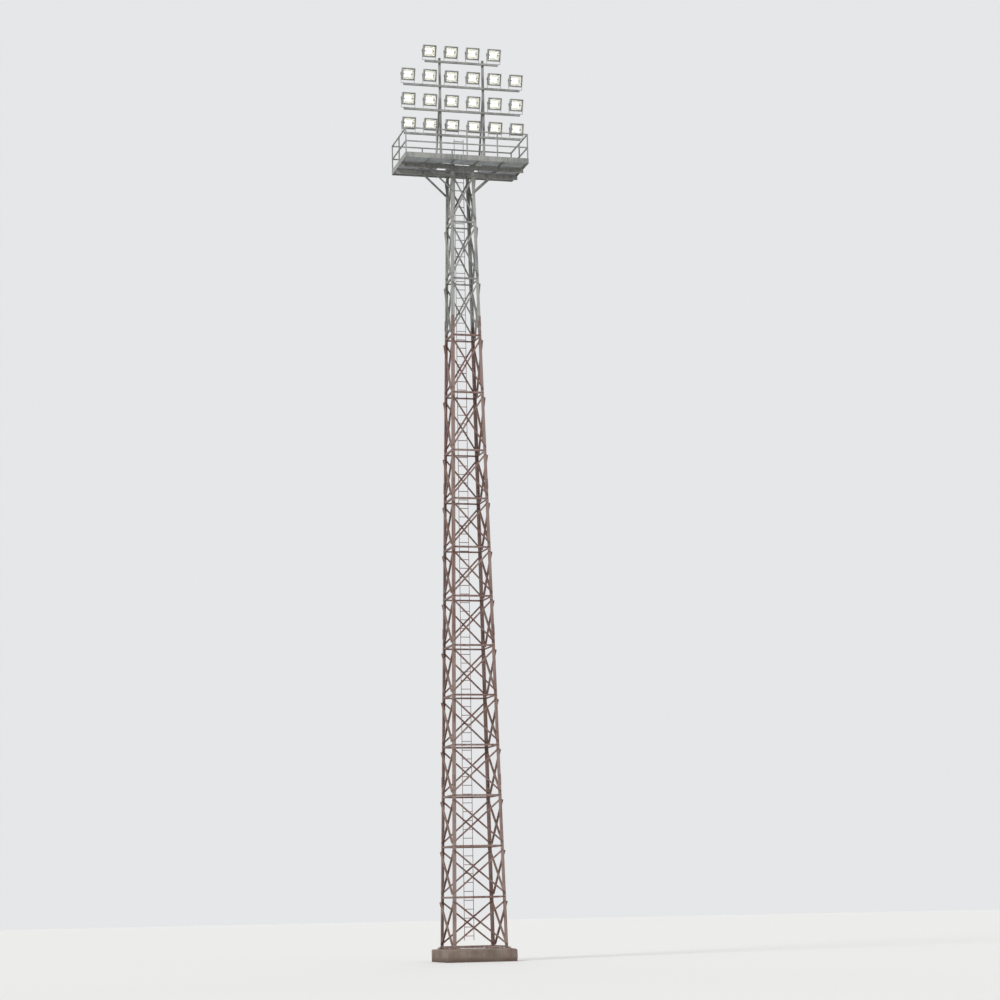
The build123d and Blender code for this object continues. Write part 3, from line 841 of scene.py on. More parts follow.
def glass(name):
    """Toughened glass with a film of dust."""
    clear = {"Transmission Weight": 1.0, "IOR": 1.5}
    return plain(name, srgb(0.97, 0.98, 0.98), 0.05, 9.0, 0.04, 0.0, **clear)


def ceramic(name):
    return plain(name, srgb(0.90, 0.88, 0.83), 0.35, 60.0)


def rubber(name):
    return plain(name, srgb(0.09, 0.09, 0.09), 0.7, 80.0, 0.3)


def lit_reflector(name):
    """Hammered aluminium with the lamp's light painted on it as a glow, brightest at the bottom
    of the bowl and in the middle of each dimple."""
    look = bpy.context.scene.pylon_lamps
    material = plain(name, srgb(0.74, 0.74, 0.73), 0.22, 24.0, 0.08, Metallic=1.0)
    tree = material.node_tree
    shader = tree.nodes["Principled BSDF"]
    place = put(tree, "ShaderNodeTexCoord").outputs["Object"]
    cells = put(tree, "ShaderNodeTexVoronoi", {"Vector": place, "Scale": 75.0})
    set_relief(tree, shader, cells.outputs["Distance"], 0.004, 0.8)
    # Painted reflection: the bowl glows by emission, by how deep each point lies and by its dimples
    depth = put(tree, "ShaderNodeAttribute", attribute_name="glow").outputs["Fac"]
    level = remap(tree, depth, 0.0, 1.0, 0.16, 1.0)
    ripple = remap(tree, cells.outputs["Distance"], 0.0, 0.7, 1.12, 0.72)
    level = calc(tree, "MULTIPLY", level, ripple)
    shine = mix(tree, level, (0.0, 0.0, 0.0, 1.0), look.glow)
    tree.links.new(shine, shader.inputs["Emission Color"])
    shader.inputs["Emission Strength"].default_value = look.bowl_strength
    return material


def lit_tube(name):
    look = bpy.context.scene.pylon_lamps
    material = plain(name, srgb(0.97, 0.97, 0.95), 0.2, 40.0, 0.03)
    shader = material.node_tree.nodes["Principled BSDF"]
    shader.inputs["Emission Color"].default_value = look.glow
    shader.inputs["Emission Strength"].default_value = look.tube_strength
    return material


def cast_concrete(name):
    """Weathered concrete: board marks, pores darkened with painted shade, lime, damp at the foot
    and rust run-off from the feet of the legs."""
    look = bpy.context.scene.pylon_concrete
    rust = bpy.context.scene.pylon_paint.rust
    material, tree, shader = new_material(name, {})
    place = put(tree, "ShaderNodeTexCoord").outputs["Object"]
    where = put(tree, "ShaderNodeSeparateXYZ", {0: place}).outputs
    cloud = object_noise(tree, 2.2, 7.0, 0.65)
    grain = object_noise(tree, 70.0, 6.0, 0.75)
    coat = mix(tree, remap(tree, cloud, 0.35, 0.68), look.concrete, srgb(0.475, 0.42, 0.38))
    coat = mix(tree, remap(tree, grain, 0.55, 0.80, 0.0, 0.5), coat, srgb(0.395, 0.35, 0.315))
    coat = mix(tree, remap(tree, grain, 0.42, 0.25, 0.0, 0.5), coat, srgb(0.665, 0.615, 0.57))

    boards = calc(tree, "ADD", where["X"], where["Y"])
    board = calc(tree, "FLOOR", calc(tree, "DIVIDE", boards, look.board_width))
    tone = put(tree, "ShaderNodeTexWhiteNoise", {"W": board}, noise_dimensions="1D").outputs["Value"]
    coat = mix(tree, remap(tree, tone, 0.0, 1.0, 0.0, 0.30), coat, look.damp)

    ragged = calc(tree, "MULTIPLY", calc(tree, "SUBTRACT", cloud, 0.5), 0.35)
    level = calc(tree, "ADD", where["Z"], ragged)
    coat = mix(tree, remap(tree, level, 0.20, 0.02, 0.0, 0.85), coat, look.damp)
    streak = remap(tree, object_noise(tree, 1.0, 6.0, 0.6, (20, 20, 1.4)), 0.50, 0.70)
    coat = mix(tree, calc(tree, "MULTIPLY", streak, 0.35), coat, look.damp)
    squares = []
    for axis in ("X", "Y"):
        off = calc(tree, "SUBTRACT", calc(tree, "ABSOLUTE", where[axis]), base_half - 0.03)
        squares.append(calc(tree, "MULTIPLY", off, off))
    distance = calc(tree, "SQRT", calc(tree, "ADD", *squares))
    bleeding = calc(tree, "MULTIPLY", remap(tree, distance, 0.42, 0.16), remap(tree, cloud, 0.40, 0.60))
    coat = mix(tree, calc(tree, "MULTIPLY", bleeding, 0.55), coat, rust)

    holes = put(tree, "ShaderNodeTexVoronoi", {"Vector": place, "Scale": 38.0}).outputs["Distance"]
    pores = remap(tree, holes, 0.16, 0.05)
    # Painted shade: the pores are darkened as shade would darken small holes
    coat = mix(tree, calc(tree, "MULTIPLY", pores, 0.6), coat, srgb(0.25, 0.23, 0.21))
    tree.links.new(coat, shader.inputs["Base Color"])
    tree.links.new(remap(tree, grain, 0.2, 0.8, 0.80, 0.98), shader.inputs["Roughness"])
    relief = calc(tree, "SUBTRACT", calc(tree, "MULTIPLY", grain, 0.6), pores)
    set_relief(tree, shader, relief, 0.004, 0.7)
    return material


def mortar(name):
    return plain(name, srgb(0.505, 0.46, 0.42), 0.9, 45.0, 0.35, 0.004)


# Each paint's colour, and its fading, rust and dust over what the settings say
PAINTS = {
    "red_oxide_paint": ("red", 0.0, 0.0, 0.0),
    "grey_paint": ("grey", 0.0, -0.12, 0.0),
    "red_leg_paint": ("red", 0.25, -0.04, 0.15),
    "grey_leg_paint": ("grey", 0.25, -0.12, 0.15),
    "platform_paint": ("grey", 0.1, -0.1, 0.1),
    "red_bolt_paint": ("red", -0.1, 0.35, 0.0),
    "grey_bolt_paint": ("grey", -0.1, 0.2, 0.0),
}

FINISHES = {
    **dict.fromkeys(PAINTS, tower_paint),
    "ladder_paint": ladder_paint,
    "galvanised_steel": galvanised,
    "dull_casting": dull_casting,
    "toughened_glass": glass,
    "lamp_ceramic": ceramic,
    "black_rubber": rubber,
    "lit_reflector": lit_reflector,
    "lit_tube": lit_tube,
    "cast_concrete": cast_concrete,
    "mortar": mortar,
}

SLOT_FINISHES = {
    "concrete": "cast_concrete",
    "red_steel": "red_oxide_paint",
    "grey_steel": "grey_paint",
    "ladder_steel": "ladder_paint",
    "grating": "galvanised_steel",
    "platform_steel": "platform_paint",
    "frame_steel": "platform_paint",
    "stirrup_steel": "galvanised_steel",
    "lamp_casting": "dull_casting",
    "lamp_glass": "toughened_glass",
}

LEG_FINISHES = {
    "leg_lower": "red_leg_paint",
    "leg_splices": "red_leg_paint",
    "leg_upper": "grey_leg_paint",
}


# Places on the tower


def panel_level(index):
    """Height of a panel line over the leg feet, counted from the bottom."""
    if index == panel_count:
        return leg_top - foot_level - top_tie_drop
    lower = min(index, lower_panel_count) * lower_panel_height
    upper = max(index - lower_panel_count, 0) * upper_panel_height
    return lower + upper


def half_width(height):
    """Half of the tower's width at a height over the leg feet."""
    return base_half - height * slope


def face_frame(turn):
    """A face's own frame: x across, y up the slope, z outwards. Turn 0 is the
    front, and each turn goes a quarter round the tower."""
    across = Vector((1, 0, 0))
    up = Vector((0, sin(batter), cos(batter)))
    out = Vector((0, -cos(batter), sin(batter)))
    axes = Matrix((across, up, out)).transposed().to_4x4()
    base = Matrix.Translation((0, -base_half, foot_level)) @ axes
    return Matrix.Rotation(turn * pi / 2, 4, "Z") @ base


def bolt_pair(face, x, height, front, back):
    """The places of a bolt's head and nut in a face: front and back are how
    far they lie outside the legs' skin."""
    up = height / cos(batter)
    head = face @ Matrix.Translation((x, up, front))
    nut = face @ Matrix.Translation((x, up, back)) @ Matrix.Rotation(pi, 4, "X")
    return head, nut


def diagonal_bolts(bottom, top, side):
    """Places across and up the face of the bolts at the ends of a diagonal
    that rises towards the given side."""
    low = bottom + brace_end_offset
    high = top - brace_end_offset
    start = Vector((-side * (half_width(low) - brace_corner_clearance), low))
    end = Vector((side * (half_width(high) - brace_corner_clearance), high))
    along = (end - start).normalized()
    raised_by = Vector((-along.y, along.x)) * side * bolt_gauge
    return [point + raised_by for distance in diagonal_bolt_distances
            for point in (start + along * distance, end - along * distance)]


def tower_bolts(first, last):
    """Heads and nuts of the bracing bolts between two panel lines."""
    inner = (0.0, -leg_thickness - brace_thickness)
    outer = (brace_thickness, -leg_thickness)
    pairs = []
    for turn in range(4):
        face = face_frame(turn)
        for index in range(first, last):
            bottom = panel_level(index)
            top = panel_level(index + 1)
            for side, depths in ((1, inner), (-1, outer)):
                pairs += [bolt_pair(face, *spot, *depths) for spot in diagonal_bolts(bottom, top, side)]
            pairs += tie_bolts(face, top + bolt_gauge, inner)
            crossing = crossing_height(bottom, top) + bolt_gauge
            pairs.append(bolt_pair(face, 0, crossing, outer[0], inner[1]))
        if first == 0:
            pairs += tie_bolts(face, base_tie_rise + bolt_gauge, inner)
    return pairs


def tie_bolts(face, height, depths):
    """Heads and nuts of the bolts at both ends of a level tie."""
    places = [half_width(height) - inset for inset in tie_bolt_insets]
    return [bolt_pair(face, side * x, height, *depths) for side in (-1, 1) for x in places]


def crossing_height(bottom, top):
    """Height at which a panel's two diagonals cross."""
    low = bottom + brace_end_offset
    high = top - brace_end_offset
    low_reach = half_width(low) - brace_corner_clearance
    high_reach = half_width(high) - brace_corner_clearance
    return low + (high - low) * low_reach / (low_reach + high_reach)


def splice_bolts():
    """Heads and nuts of the bolts through the legs' splice covers."""
    pairs = []
    for turn in range(4):
        face = face_frame(turn)
        for line in range(splice_panels, panel_count, splice_panels):
            level = panel_level(line) + splice_rise
            for side in (-1, 1):
                for row in splice_bolt_rows:
                    height = level + row
                    x = side * (half_width(height) - splice_bolt_inset)
                    pairs.append(bolt_pair(face, x, height, splice_thickness, -leg_thickness))
    return pairs


def place(x, y, z, turn=0.0, flip=False):
    """A matrix at a point, turned about Z, and upside down if flipped."""
    over = Matrix.Rotation(pi, 4, "Y") if flip else Matrix.Identity(4)
    return Matrix.Translation((x, y, z)) @ Matrix.Rotation(turn, 4, "Z") @ over


def level_bolt(x, y, z, heading):
    """A matrix whose Z lies level and points towards a heading about Z."""
    return place(x, y, z, heading) @ Matrix.Rotation(pi / 2, 4, "X")


def upright_bolt(x, y, low, high):
    """Matrices of both ends of a bolt that stands upright, the lower one first."""
    return [place(x, y, low, 0, True), place(x, y, high)]


def add_bolts(name, pairs, coating, slot):
    """Heads and nuts for pairs of places, as two pieces."""
    sizes = bpy.context.scene.pylon_fixings
    tree = tree_named("Hex Fastener", hex_fastener_tree)
    common = {
        "across_flats": sizes.across_flats,
        "washer_radius": sizes.washer_radius,
        "shank_radius": sizes.across_flats / 3,
        "seed": sizes.seed,
    }
    heads = places_mesh(name, [head for head, nut in pairs])
    grow(name + "_heads", heads, tree, coating, slot, **common, height=sizes.head_height)
    nuts = places_mesh(name, [nut for head, nut in pairs])
    grow(name + "_nuts", nuts, tree, coating, slot, **common, height=sizes.nut_height,
         shank_length=bolt_end_length)


def small_fasteners(name, places, coating, slot):
    """Small hexagon heads or nuts, as one piece."""
    sizes = bpy.context.scene.pylon_fixings
    grow(name, places_mesh(name, places), tree_named("Hex Fastener", hex_fastener_tree), coating, slot,
         across_flats=sizes.small_flats, height=0.009, washer_radius=sizes.small_flats * 0.66,
         washer_thickness=0.0022, seed=sizes.seed)


# Paint, plinth and tower


class PYLON_OT_paint_steel(bpy.types.Operator):
    """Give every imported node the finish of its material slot"""

    bl_idname = "pylon.paint_steel"
    bl_label = "Paint Steel"

    def execute(self, context):
        for part in frame["record"]["subparts"]:
            node = frame["nodes"][part["node"]]
            wanted = SLOT_FINISHES[part["material_slot"]]
            for start, leg_finish in LEG_FINISHES.items():
                if part["node"].startswith(start):
                    wanted = leg_finish
            node.data.materials.clear()
            node.data.materials.append(finish(wanted))
        return {"FINISHED"}


def chipped(point, half, top, look):
    """A point of the cast plinth, sunk by shallow hollows and by chips along
    the edges. Points stay inside the plain block."""
    edge_reach = 0.07
    corner_reach = 0.09
    skin = 0.04
    even_below = 0.08
    depth = look.unevenness * (0.5 + 0.5 * noise.noise(point * 4.0))
    reach = max(abs(point.x), abs(point.y))
    edge = hypot(max(half - reach - plinth_chamfer, 0.0), max(top - point.z - plinth_chamfer, 0.0))
    corner = hypot(half - abs(point.x), half - abs(point.y))
    above = Vector((point.x, point.y, max(point.z, even_below)))
    rough = noise.fractal(above * 8.0, 0.7, 2.0, 4)
    near_edge = max(0.0, 1 - edge / edge_reach) + 0.8 * max(0.0, 1 - corner / corner_reach)
    depth += look.chip_depth * max(0.0, min(1.0, near_edge)) * max(0.0, rough - 0.12) * 1.6
    inward = Vector((-point.x if abs(point.x) > half - skin else 0.0,
                     -point.y if abs(point.y) > half - skin else 0.0,
                     -half if point.z > top - skin else 0.0))
    return point + inward.normalized() * depth


class PYLON_OT_cast_plinth(bpy.types.Operator):
    """Cast the uneven, chipped concrete plinth"""

    bl_idname = "pylon.cast_plinth"
    bl_label = "Cast Plinth"

    def execute(self, context):
        look = context.scene.pylon_concrete
        low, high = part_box("foundation_plinth")
        bm = bmesh.new()
        add_box(bm, low, high)
        rim = [edge for edge in bm.edges if all(v.co.z > high.z - 0.001 for v in edge.verts)]
        bmesh.ops.bevel(bm, geom=rim, offset=plinth_chamfer, segments=1, affect="EDGES")
        for axis in range(3):
            count = round((high[axis] - low[axis]) / look.grid)
            normal = Vector([float(axis == k) for k in range(3)])
            for index in range(1, count):
                cut = normal * (low[axis] + index * look.grid)
                everything = bm.verts[:] + bm.edges[:] + bm.faces[:]
                bmesh.ops.bisect_plane(bm, geom=everything, plane_co=cut, plane_no=normal)
        for vertex in bm.verts:
            vertex.co = chipped(vertex.co, high.x, high.z, look)
        mesh = mesh_from(bm, "plinth_cast")
        plinth = add_piece("plinth_cast", mesh, finish("cast_concrete"))
        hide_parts("foundation_plinth")
        return {"FINISHED"}


def foot_corners():
    """Each foot plate's outer corner on the plinth, and its sides of the tower."""
    reach = -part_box("foot_plates")[0].x
    return [(Vector((sx * reach, sy * reach, plinth_top)), sx, sy) for sx in (-1, 1) for sy in (-1, 1)]


def grout_ring(bm, middle):
    """The mortar bed that swells out round one foot plate."""
    half = foot_plate_size / 2
    points = 64
    profile = ((-0.03, -0.002), (0.034, -0.002), (0.026, 0.007), (0.004, 0.017), (-0.03, 0.017))
    rings = []
    for spread, height in profile:
        ring = []
        for index in range(points):
            turn = 2 * pi * index / points
            side = max(abs(cos(turn)), abs(sin(turn)))
            wobble = 0.010 * noise.noise(middle + Vector((cos(turn), sin(turn), 0)) * 3.0)
            reach = (half + spread + (wobble if spread > 0 else 0.0)) / side
            ring.append(bm.verts.new(middle + Vector((reach * cos(turn), reach * sin(turn), height))))
        rings.append(ring)
    for first, second in zip(rings, rings[1:] + rings[:1]):
        bridge(bm, first, second)


class PYLON_OT_set_feet(bpy.types.Operator):
    """Bed the foot plates in mortar, weld the legs to them and bolt them down"""

    bl_idname = "pylon.set_feet"
    bl_label = "Set Feet"

    def execute(self, context):
        sizes = context.scene.pylon_fixings
        bm = bmesh.new()
        places = []
        beads = []
        bolt_inset = 0.045
        for corner, sx, sy in foot_corners():
            inward = Vector((-sx, -sy, 0))
            grout_ring(bm, corner + inward * foot_plate_size / 2)
            for along in (bolt_inset, foot_plate_size - bolt_inset):
                for across in (bolt_inset, foot_plate_size - bolt_inset):
                    shift = Vector((-sx * along, -sy * across, foot_plate_thickness))
                    places.append(Matrix.Translation(corner + shift))
            beads += leg_weld(Vector((sx * base_half, sy * base_half, foot_level)), sx, sy)
        add_piece("grout_beds", mesh_from(bm, "grout_beds"), finish("mortar"))
        paint = finish("red_bolt_paint")
        nuts = places_mesh("anchor_nuts", places)
        grow("anchor_nuts", nuts, tree_named("Hex Fastener", hex_fastener_tree), paint, "red_steel",
             across_flats=sizes.anchor_flats, height=0.019, washer_radius=0.024, washer_thickness=0.004,
             shank_radius=0.012, shank_length=0.038, seed=sizes.seed)
        grow_welds("foot_welds", beads, paint, "red_steel", radius=sizes.weld_radius)
        return {"FINISHED"}


def leg_weld(corner, sx, sy):
    """Lines of the weld round a leg's foot."""
    outline = [(0, 0), (leg_size, 0), (leg_size, leg_thickness), (leg_thickness, leg_thickness),
               (leg_thickness, leg_size), (0, leg_size)]
    points = [corner + Vector((-sx * x, -sy * y, 0)) for x, y in outline]
    return list(zip(points, points[1:] + points[:1]))


class PYLON_OT_bolt_tower(bpy.types.Operator):
    """Bolt the bracing and the leg splices, with packers where diagonals cross"""

    bl_idname = "pylon.bolt_tower"
    bl_label = "Bolt Tower"

    def execute(self, context):
        red = finish("red_bolt_paint")
        grey = finish("grey_bolt_paint")
        half = red_panel_count // 2
        add_bolts("bracing_bolts_lower", tower_bolts(0, half), red, "red_steel")
        add_bolts("bracing_bolts_middle", tower_bolts(half, red_panel_count), red, "red_steel")
        add_bolts("bracing_bolts_upper", tower_bolts(red_panel_count, panel_count), grey, "grey_steel")
        add_bolts("splice_bolts", splice_bolts(), red, "red_steel")
        packer = 0.040
        for name, first, last, paint, slot in (
            ("crossing_packers_lower", 0, red_panel_count, red, "red_steel"),
            ("crossing_packers_upper", red_panel_count, panel_count, grey, "grey_steel"),
        ):
            bm = bmesh.new()
            add_box(bm, (-packer / 2, -packer / 2, -leg_thickness), (packer / 2, packer / 2, 0), 0.0015)
            places = []
            for index in range(first, last):
                height = crossing_height(panel_level(index), panel_level(index + 1))
                places += [bolt_pair(face_frame(turn), 0, height, 0, 0)[0] for turn in range(4)]
            grow_copies(name, mesh_from(bm, name + "_one"), places, paint, slot)
        return {"FINISHED"}


def ladder_frame():
    """The ladder's own frame: x across, y up along its stiles, z forwards."""
    across = Vector((1, 0, 0))
    up = Vector((0, -sin(batter), cos(batter)))
    axes = Matrix((across, up, across.cross(up))).transposed().to_4x4()
    return Matrix.Translation((0, base_half - ladder_offset / cos(batter), foot_level)) @ axes


def ladder_welds():
    """Lines of the beads at the rungs' ends and at both ends of the struts."""
    inner = (ladder_width - ladder_stile_thickness) / 2
    outer = inner + ladder_stile_thickness
    rung_half = ladder_rung_size / 2
    stile_half = ladder_stile_depth / 2
    length = (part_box("ladder")[1].z - foot_level) / cos(batter) - ladder_foot_gap
    tie_face = leg_thickness * cos(batter) + brace_thickness - ladder_offset
    tie_ends = (tie_face + 0.003, tie_face + brace_size - 0.003)
    lines = []
    for side in (-1, 1):
        for index in range(round(length / ladder_rung_pitch)):
            middle = ladder_foot_gap + ladder_rung_pitch * (index + 0.5)
            for y in (middle - rung_half, middle + rung_half):
                lines.append([(side * inner, y, z) for z in (-rung_half, rung_half)])
        for index in range(1, panel_count, 2):
            seat = panel_level(index) / cos(batter) - brace_size / 2 + brace_thickness
            for y in (seat, seat + ladder_strut_size):
                lines.append([(side * outer, y, z) for z in (-stile_half, stile_half)])
            for x in (outer, outer + ladder_strut_thickness):
                lines.append([(side * x, seat, z) for z in tie_ends])
    placed = ladder_frame()
    return [tuple(placed @ Vector(point) for point in line) for line in lines]


class PYLON_OT_weld_ladder(bpy.types.Operator):
    """Weld the ladder's rungs to its stiles, and its struts to the stiles and ties"""

    bl_idname = "pylon.weld_ladder"
    bl_label = "Weld Ladder"

    def execute(self, context):
        grow_welds("ladder_welds", ladder_welds(), finish("ladder_paint"), "ladder_steel",
                   radius=0.003, step=0.005)
        return {"FINISHED"}


# The platform


def deck_plates():
    """Box of each deck plate, with the boxes of the holes in it."""
    bm = bmesh.new()
    bm.from_mesh(frame["nodes"]["platform_deck"].data)
    bmesh.ops.remove_doubles(bm, verts=bm.verts, dist=0.0001)
    plates = []
    left = set(bm.verts)
    while left:
        front = [left.pop()]
        island = []
        while front:
            vertex = front.pop()
            island.append(vertex.co.copy())
            linked = {edge.other_vert(vertex) for edge in vertex.link_edges} & left
            left -= linked
            front += linked
        plates.append(island)
    bm.free()
    return [plate_with_holes(points) for points in sorted(plates, key=box_of)]


def box_of(points):
    """Lowest x and y, then highest x and y."""
    xs = [p.x for p in points]
    ys = [p.y for p in points]
    return min(xs), min(ys), max(xs), max(ys)


def plate_with_holes(points):
    """Box of a plate, with the boxes of the holes before and behind its middle."""
    plate = box_of(points)
    margin = 0.001
    inside = [p for p in points if plate[0] + margin < p.x < plate[2] - margin]
    holes = []
    for forward in (True, False):
        corners = [p for p in inside if (p.y < 0) == forward]
        if corners:
            holes.append(box_of(corners))
    return plate, holes


def spans(low, high, cuts):
    """What is left of a stretch once some cuts are taken out of it."""
    stretches = []
    for start, end in sorted(cuts):
        stretches.append((low, start))
        low = end
    stretches.append((low, high))
    return stretches


def stations(low, high, pitch):
    """Even places in a stretch, set from the tower's axis."""
    first = ceil((low + pitch / 4) / pitch)
    last = int((high - pitch / 4) // pitch)
    return [index * pitch for index in range(first, last + 1)]


def grating_lines(plate, holes, sizes, level):
    """Lines of a plate's bearing bars along X, its rods along Y and the
    banding round its edges."""
    x0, y0, x1, y1 = plate
    bars = []
    for y in stations(y0, y1, sizes.bar_pitch):
        cuts = [(h[0], h[2]) for h in holes if h[1] < y < h[3]]
        bars += [((a, y, level), (b, y, level)) for a, b in spans(x0, x1, cuts)]
    rods = []
    for x in stations(x0, x1, sizes.rod_pitch):
        cuts = [(h[1], h[3]) for h in holes if h[0] < x < h[2]]
        rods += [((x, a, level), (x, b, level)) for a, b in spans(y0, y1, cuts)]
    half = sizes.bar_thickness / 2
    rims = [(x0 + half, y0 + half, x1 - half, y1 - half)]
    rims += [(h[0] - half, h[1] - half, h[2] + half, h[3] + half) for h in holes]
    for a, b, c, d in rims:
        corners = [(a, b, level), (c, b, level), (c, d, level), (a, d, level)]
        bars += list(zip(corners, corners[1:] + corners[:1]))
    return bars, rods


class PYLON_OT_lay_grating(bpy.types.Operator):
    """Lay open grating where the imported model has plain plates"""

    bl_idname = "pylon.lay_grating"
    bl_label = "Lay Grating"

    def execute(self, context):
        sizes = context.scene.pylon_grating
        level = (deck_low.z + deck_high.z) / 2
        bars = []
        rods = []
        for plate, holes in deck_plates():
            more_bars, more_rods = grating_lines(plate, holes, sizes, level)
            bars += more_bars
            rods += more_rods
        tree = tree_named("Bars On Lines", bars_tree)
        steel = finish("galvanised_steel")
        piece = grow("grating_bars", lines_mesh("grating_bars", bars), tree, steel, "grating",
                     width=sizes.bar_thickness, height=deck_high.z - deck_low.z)
        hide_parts("platform_deck")
        lift = (deck_high.z - deck_low.z - sizes.rod_size) / 2
        lifted = [tuple((x, y, z + lift) for x, y, z in line) for line in rods]
        grow("grating_rods", lines_mesh("grating_rods", lifted), tree, steel, "grating",
             width=sizes.rod_size, height=sizes.rod_size)
        return {"FINISHED"}


def angle_cleat(name, size, thickness, length):
    """A short angle about its inside corner: one leg down -Z against a face
    at y 0, the other out along -Y, its length along X."""
    outline = [(0, 0), (-size, 0), (-size, -thickness), (-thickness, -thickness),
               (-thickness, -size), (0, -size)]
    bm = bmesh.new()
    add_prism(bm, outline, length, cut_across_x(-length / 2))
    bmesh.ops.bevel(bm, geom=bm.edges[:], offset=thickness / 8, segments=1, affect="EDGES")
    return mesh_from(bm, name)


class PYLON_OT_fix_platform(bpy.types.Operator):
    """Add the cleats, bolts and welds of the platform and its railing"""

    bl_idname = "pylon.fix_platform"
    bl_label = "Fix Platform"

    def execute(self, context):
        paint = finish("platform_paint")
        nuts = []
        for name, places, size, thickness, length in (
            ("bearer_cleats", leg_top_cleats(nuts), 0.052, bearer_cleat_thickness, 0.100),
            ("joist_cleats", joist_cleats(nuts), 0.050, joist_cleat_thickness, 0.046),
        ):
            cleat = angle_cleat(name + "_one", size, thickness, length)
            grow_copies(name, cleat, places, paint, "platform_steel")
        edge_bolts(nuts)
        bm = bmesh.new()
        for sx in (-1, 1):
            for sy in (-1, 1):
                nuts += knee_bolts(sx, sy)
                knee_head(bm, sx, sy, nuts)
        add_piece("knee_head_plates", mesh_from(bm, "knee_head_plates"), paint)
        small_fasteners("platform_bolts", nuts, finish("grey_bolt_paint"), "platform_steel")
        grow_welds("railing_welds", rail_welds(), paint, "platform_steel", radius=0.004, step=0.005)
        return {"FINISHED"}


def leg_top_cleats(nuts):
    """Places of the cleats that hold the bearers on the legs' tops."""
    skin = half_width(leg_top - foot_level)
    from_corner = skin - 0.055
    gauge = 0.030
    bolt_drop = 0.031
    cleats = []
    for side in (-1, 1):
        heading = 0.0 if side < 0 else pi
        for x in (-from_corner, from_corner):
            cleats.append(place(x, side * skin, leg_top, heading))
            for shift in (-0.028, 0.028):
                nuts.append(level_bolt(x + shift, side * (skin + bearer_cleat_thickness),
                                       leg_top - bolt_drop, heading))
                nuts += upright_bolt(x + shift, side * (skin + gauge), leg_top - bearer_cleat_thickness,
                                     leg_top + bearer_thickness)
    return cleats


def joist_webs():
    """X of each joist's web, and the way that its flange points."""
    bay = (deck_high.x - deck_low.x) / (joist_count - 1)
    return [(deck_low.x + index * bay, 1 if index < joist_count / 2 else -1)
            for index in range(joist_count)]


def joist_cleats(nuts):
    """Places of the cleats that hold the joists on the bearers."""
    gauge = 0.030
    bolt_level = bearer_high.z + 0.028
    cleats = []
    for index, (web, turn) in enumerate(joist_webs()):
        face = web + turn * joist_thickness
        heading = turn * pi / 2
        for side in (-1, 1):
            y = side * (bearer_high.y - bearer_flange / 2)
            cleats.append(place(face, y, bearer_high.z, heading, True))
            nuts.append(level_bolt(face + turn * joist_cleat_thickness, y, bolt_level, heading))
            nuts.append(place(face + turn * gauge, y, bearer_high.z + joist_cleat_thickness))
            nuts.append(place(face + turn * gauge, y, bearer_high.z - bearer_thickness, 0, True))
            if 0 < index < joist_count - 1:
                nuts.append(level_bolt(web, y, bolt_level, -heading))
    return cleats


def edge_bolts(nuts):
    """Bolts through the toe boards into the joists and the railing's posts."""
    gauge = 0.030
    step = (deck_high.x - deck_low.x - rail_size) / rail_wide_bay_count
    for side in (-1, 1):
        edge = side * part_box("platform_toe_boards")[1].y
        heading = 0.0 if side < 0 else pi
        for web, turn in joist_webs():
            nuts.append(level_bolt(web + turn * gauge, edge, bearer_high.z + gauge, heading))
        for index in range(rail_wide_bay_count + 1):
            x = deck_low.x + rail_size / 2 + index * step
            inner = edge - side * (toe_board_thickness + rail_size)
            for rise in (0.028, 0.074):
                nuts.append(level_bolt(x, edge, deck_high.z + rise, heading))
                nuts.append(level_bolt(x, inner, deck_high.z + rise, heading + pi))


def knee_head(bm, sx, sy, nuts):
    """The plate on a knee brace's head, bolted under the bearer's flange."""
    x = sx * (half_width(leg_top - foot_level) + knee_reach)
    inner = bearer_high.y - bearer_flange
    under = leg_top - 0.008
    half = 0.075
    front, back = sorted((sy * (inner + 0.002), sy * (bearer_high.y - 0.002)))
    add_box(bm, (x - half, front, under), (x + half, back, leg_top), 0.001)
    for shift in (-0.052, 0.052):
        nuts += upright_bolt(x + shift, sy * (inner + 0.034), under, leg_top + bearer_thickness)


def knee_bolts(sx, sy):
    """Heads of the two bolts at the foot of a knee brace."""
    foot_height = leg_top - foot_level - knee_drop
    foot = Vector((half_width(foot_height) - leg_size / 2, foot_height))
    head = Vector((half_width(leg_top - foot_level) + knee_reach, leg_top - foot_level))
    along = (head - foot).normalized()
    face = face_frame(0 if sy < 0 else 2)
    mirrored = sx if sy < 0 else -sx
    places = []
    for distance in (-0.012, 0.032):
        point = foot + along * distance + Vector((-along.y, along.x)) * bolt_gauge
        places.append(bolt_pair(face, mirrored * point.x, point.y, brace_thickness, 0)[0])
    return places


def rail_welds():
    """Lines of the beads where the middle rails and the top rails meet the
    posts, on the outside and the inside of the railing."""
    low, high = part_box("railing_front")
    middle = deck_high.z + middle_rail_share * (high.z - deck_high.z)
    step = (high.x - low.x - rail_size) / rail_wide_bay_count
    lines = []
    for index in range(rail_wide_bay_count + 1):
        left = low.x + index * step
        for y in (low.y, high.y, -low.y, -high.y):
            for z in (high.z - rail_size, middle, middle - rail_size):
                lines.append(((left, y, z), (left + rail_size, y, z)))
    return lines


# The lamp frame and the lamps


def beam_levels():
    """Underside and top of each row's beam."""
    feet = [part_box(f"lamp_stirrups_row_{row + 1}")[0].z for row in range(len(lamps_in_rows))]
    low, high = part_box("lamp_frame_beams")
    rise = high.z - feet[-1]
    section = high.y - low.y
    return [(foot + rise - section, foot + rise) for foot in feet]


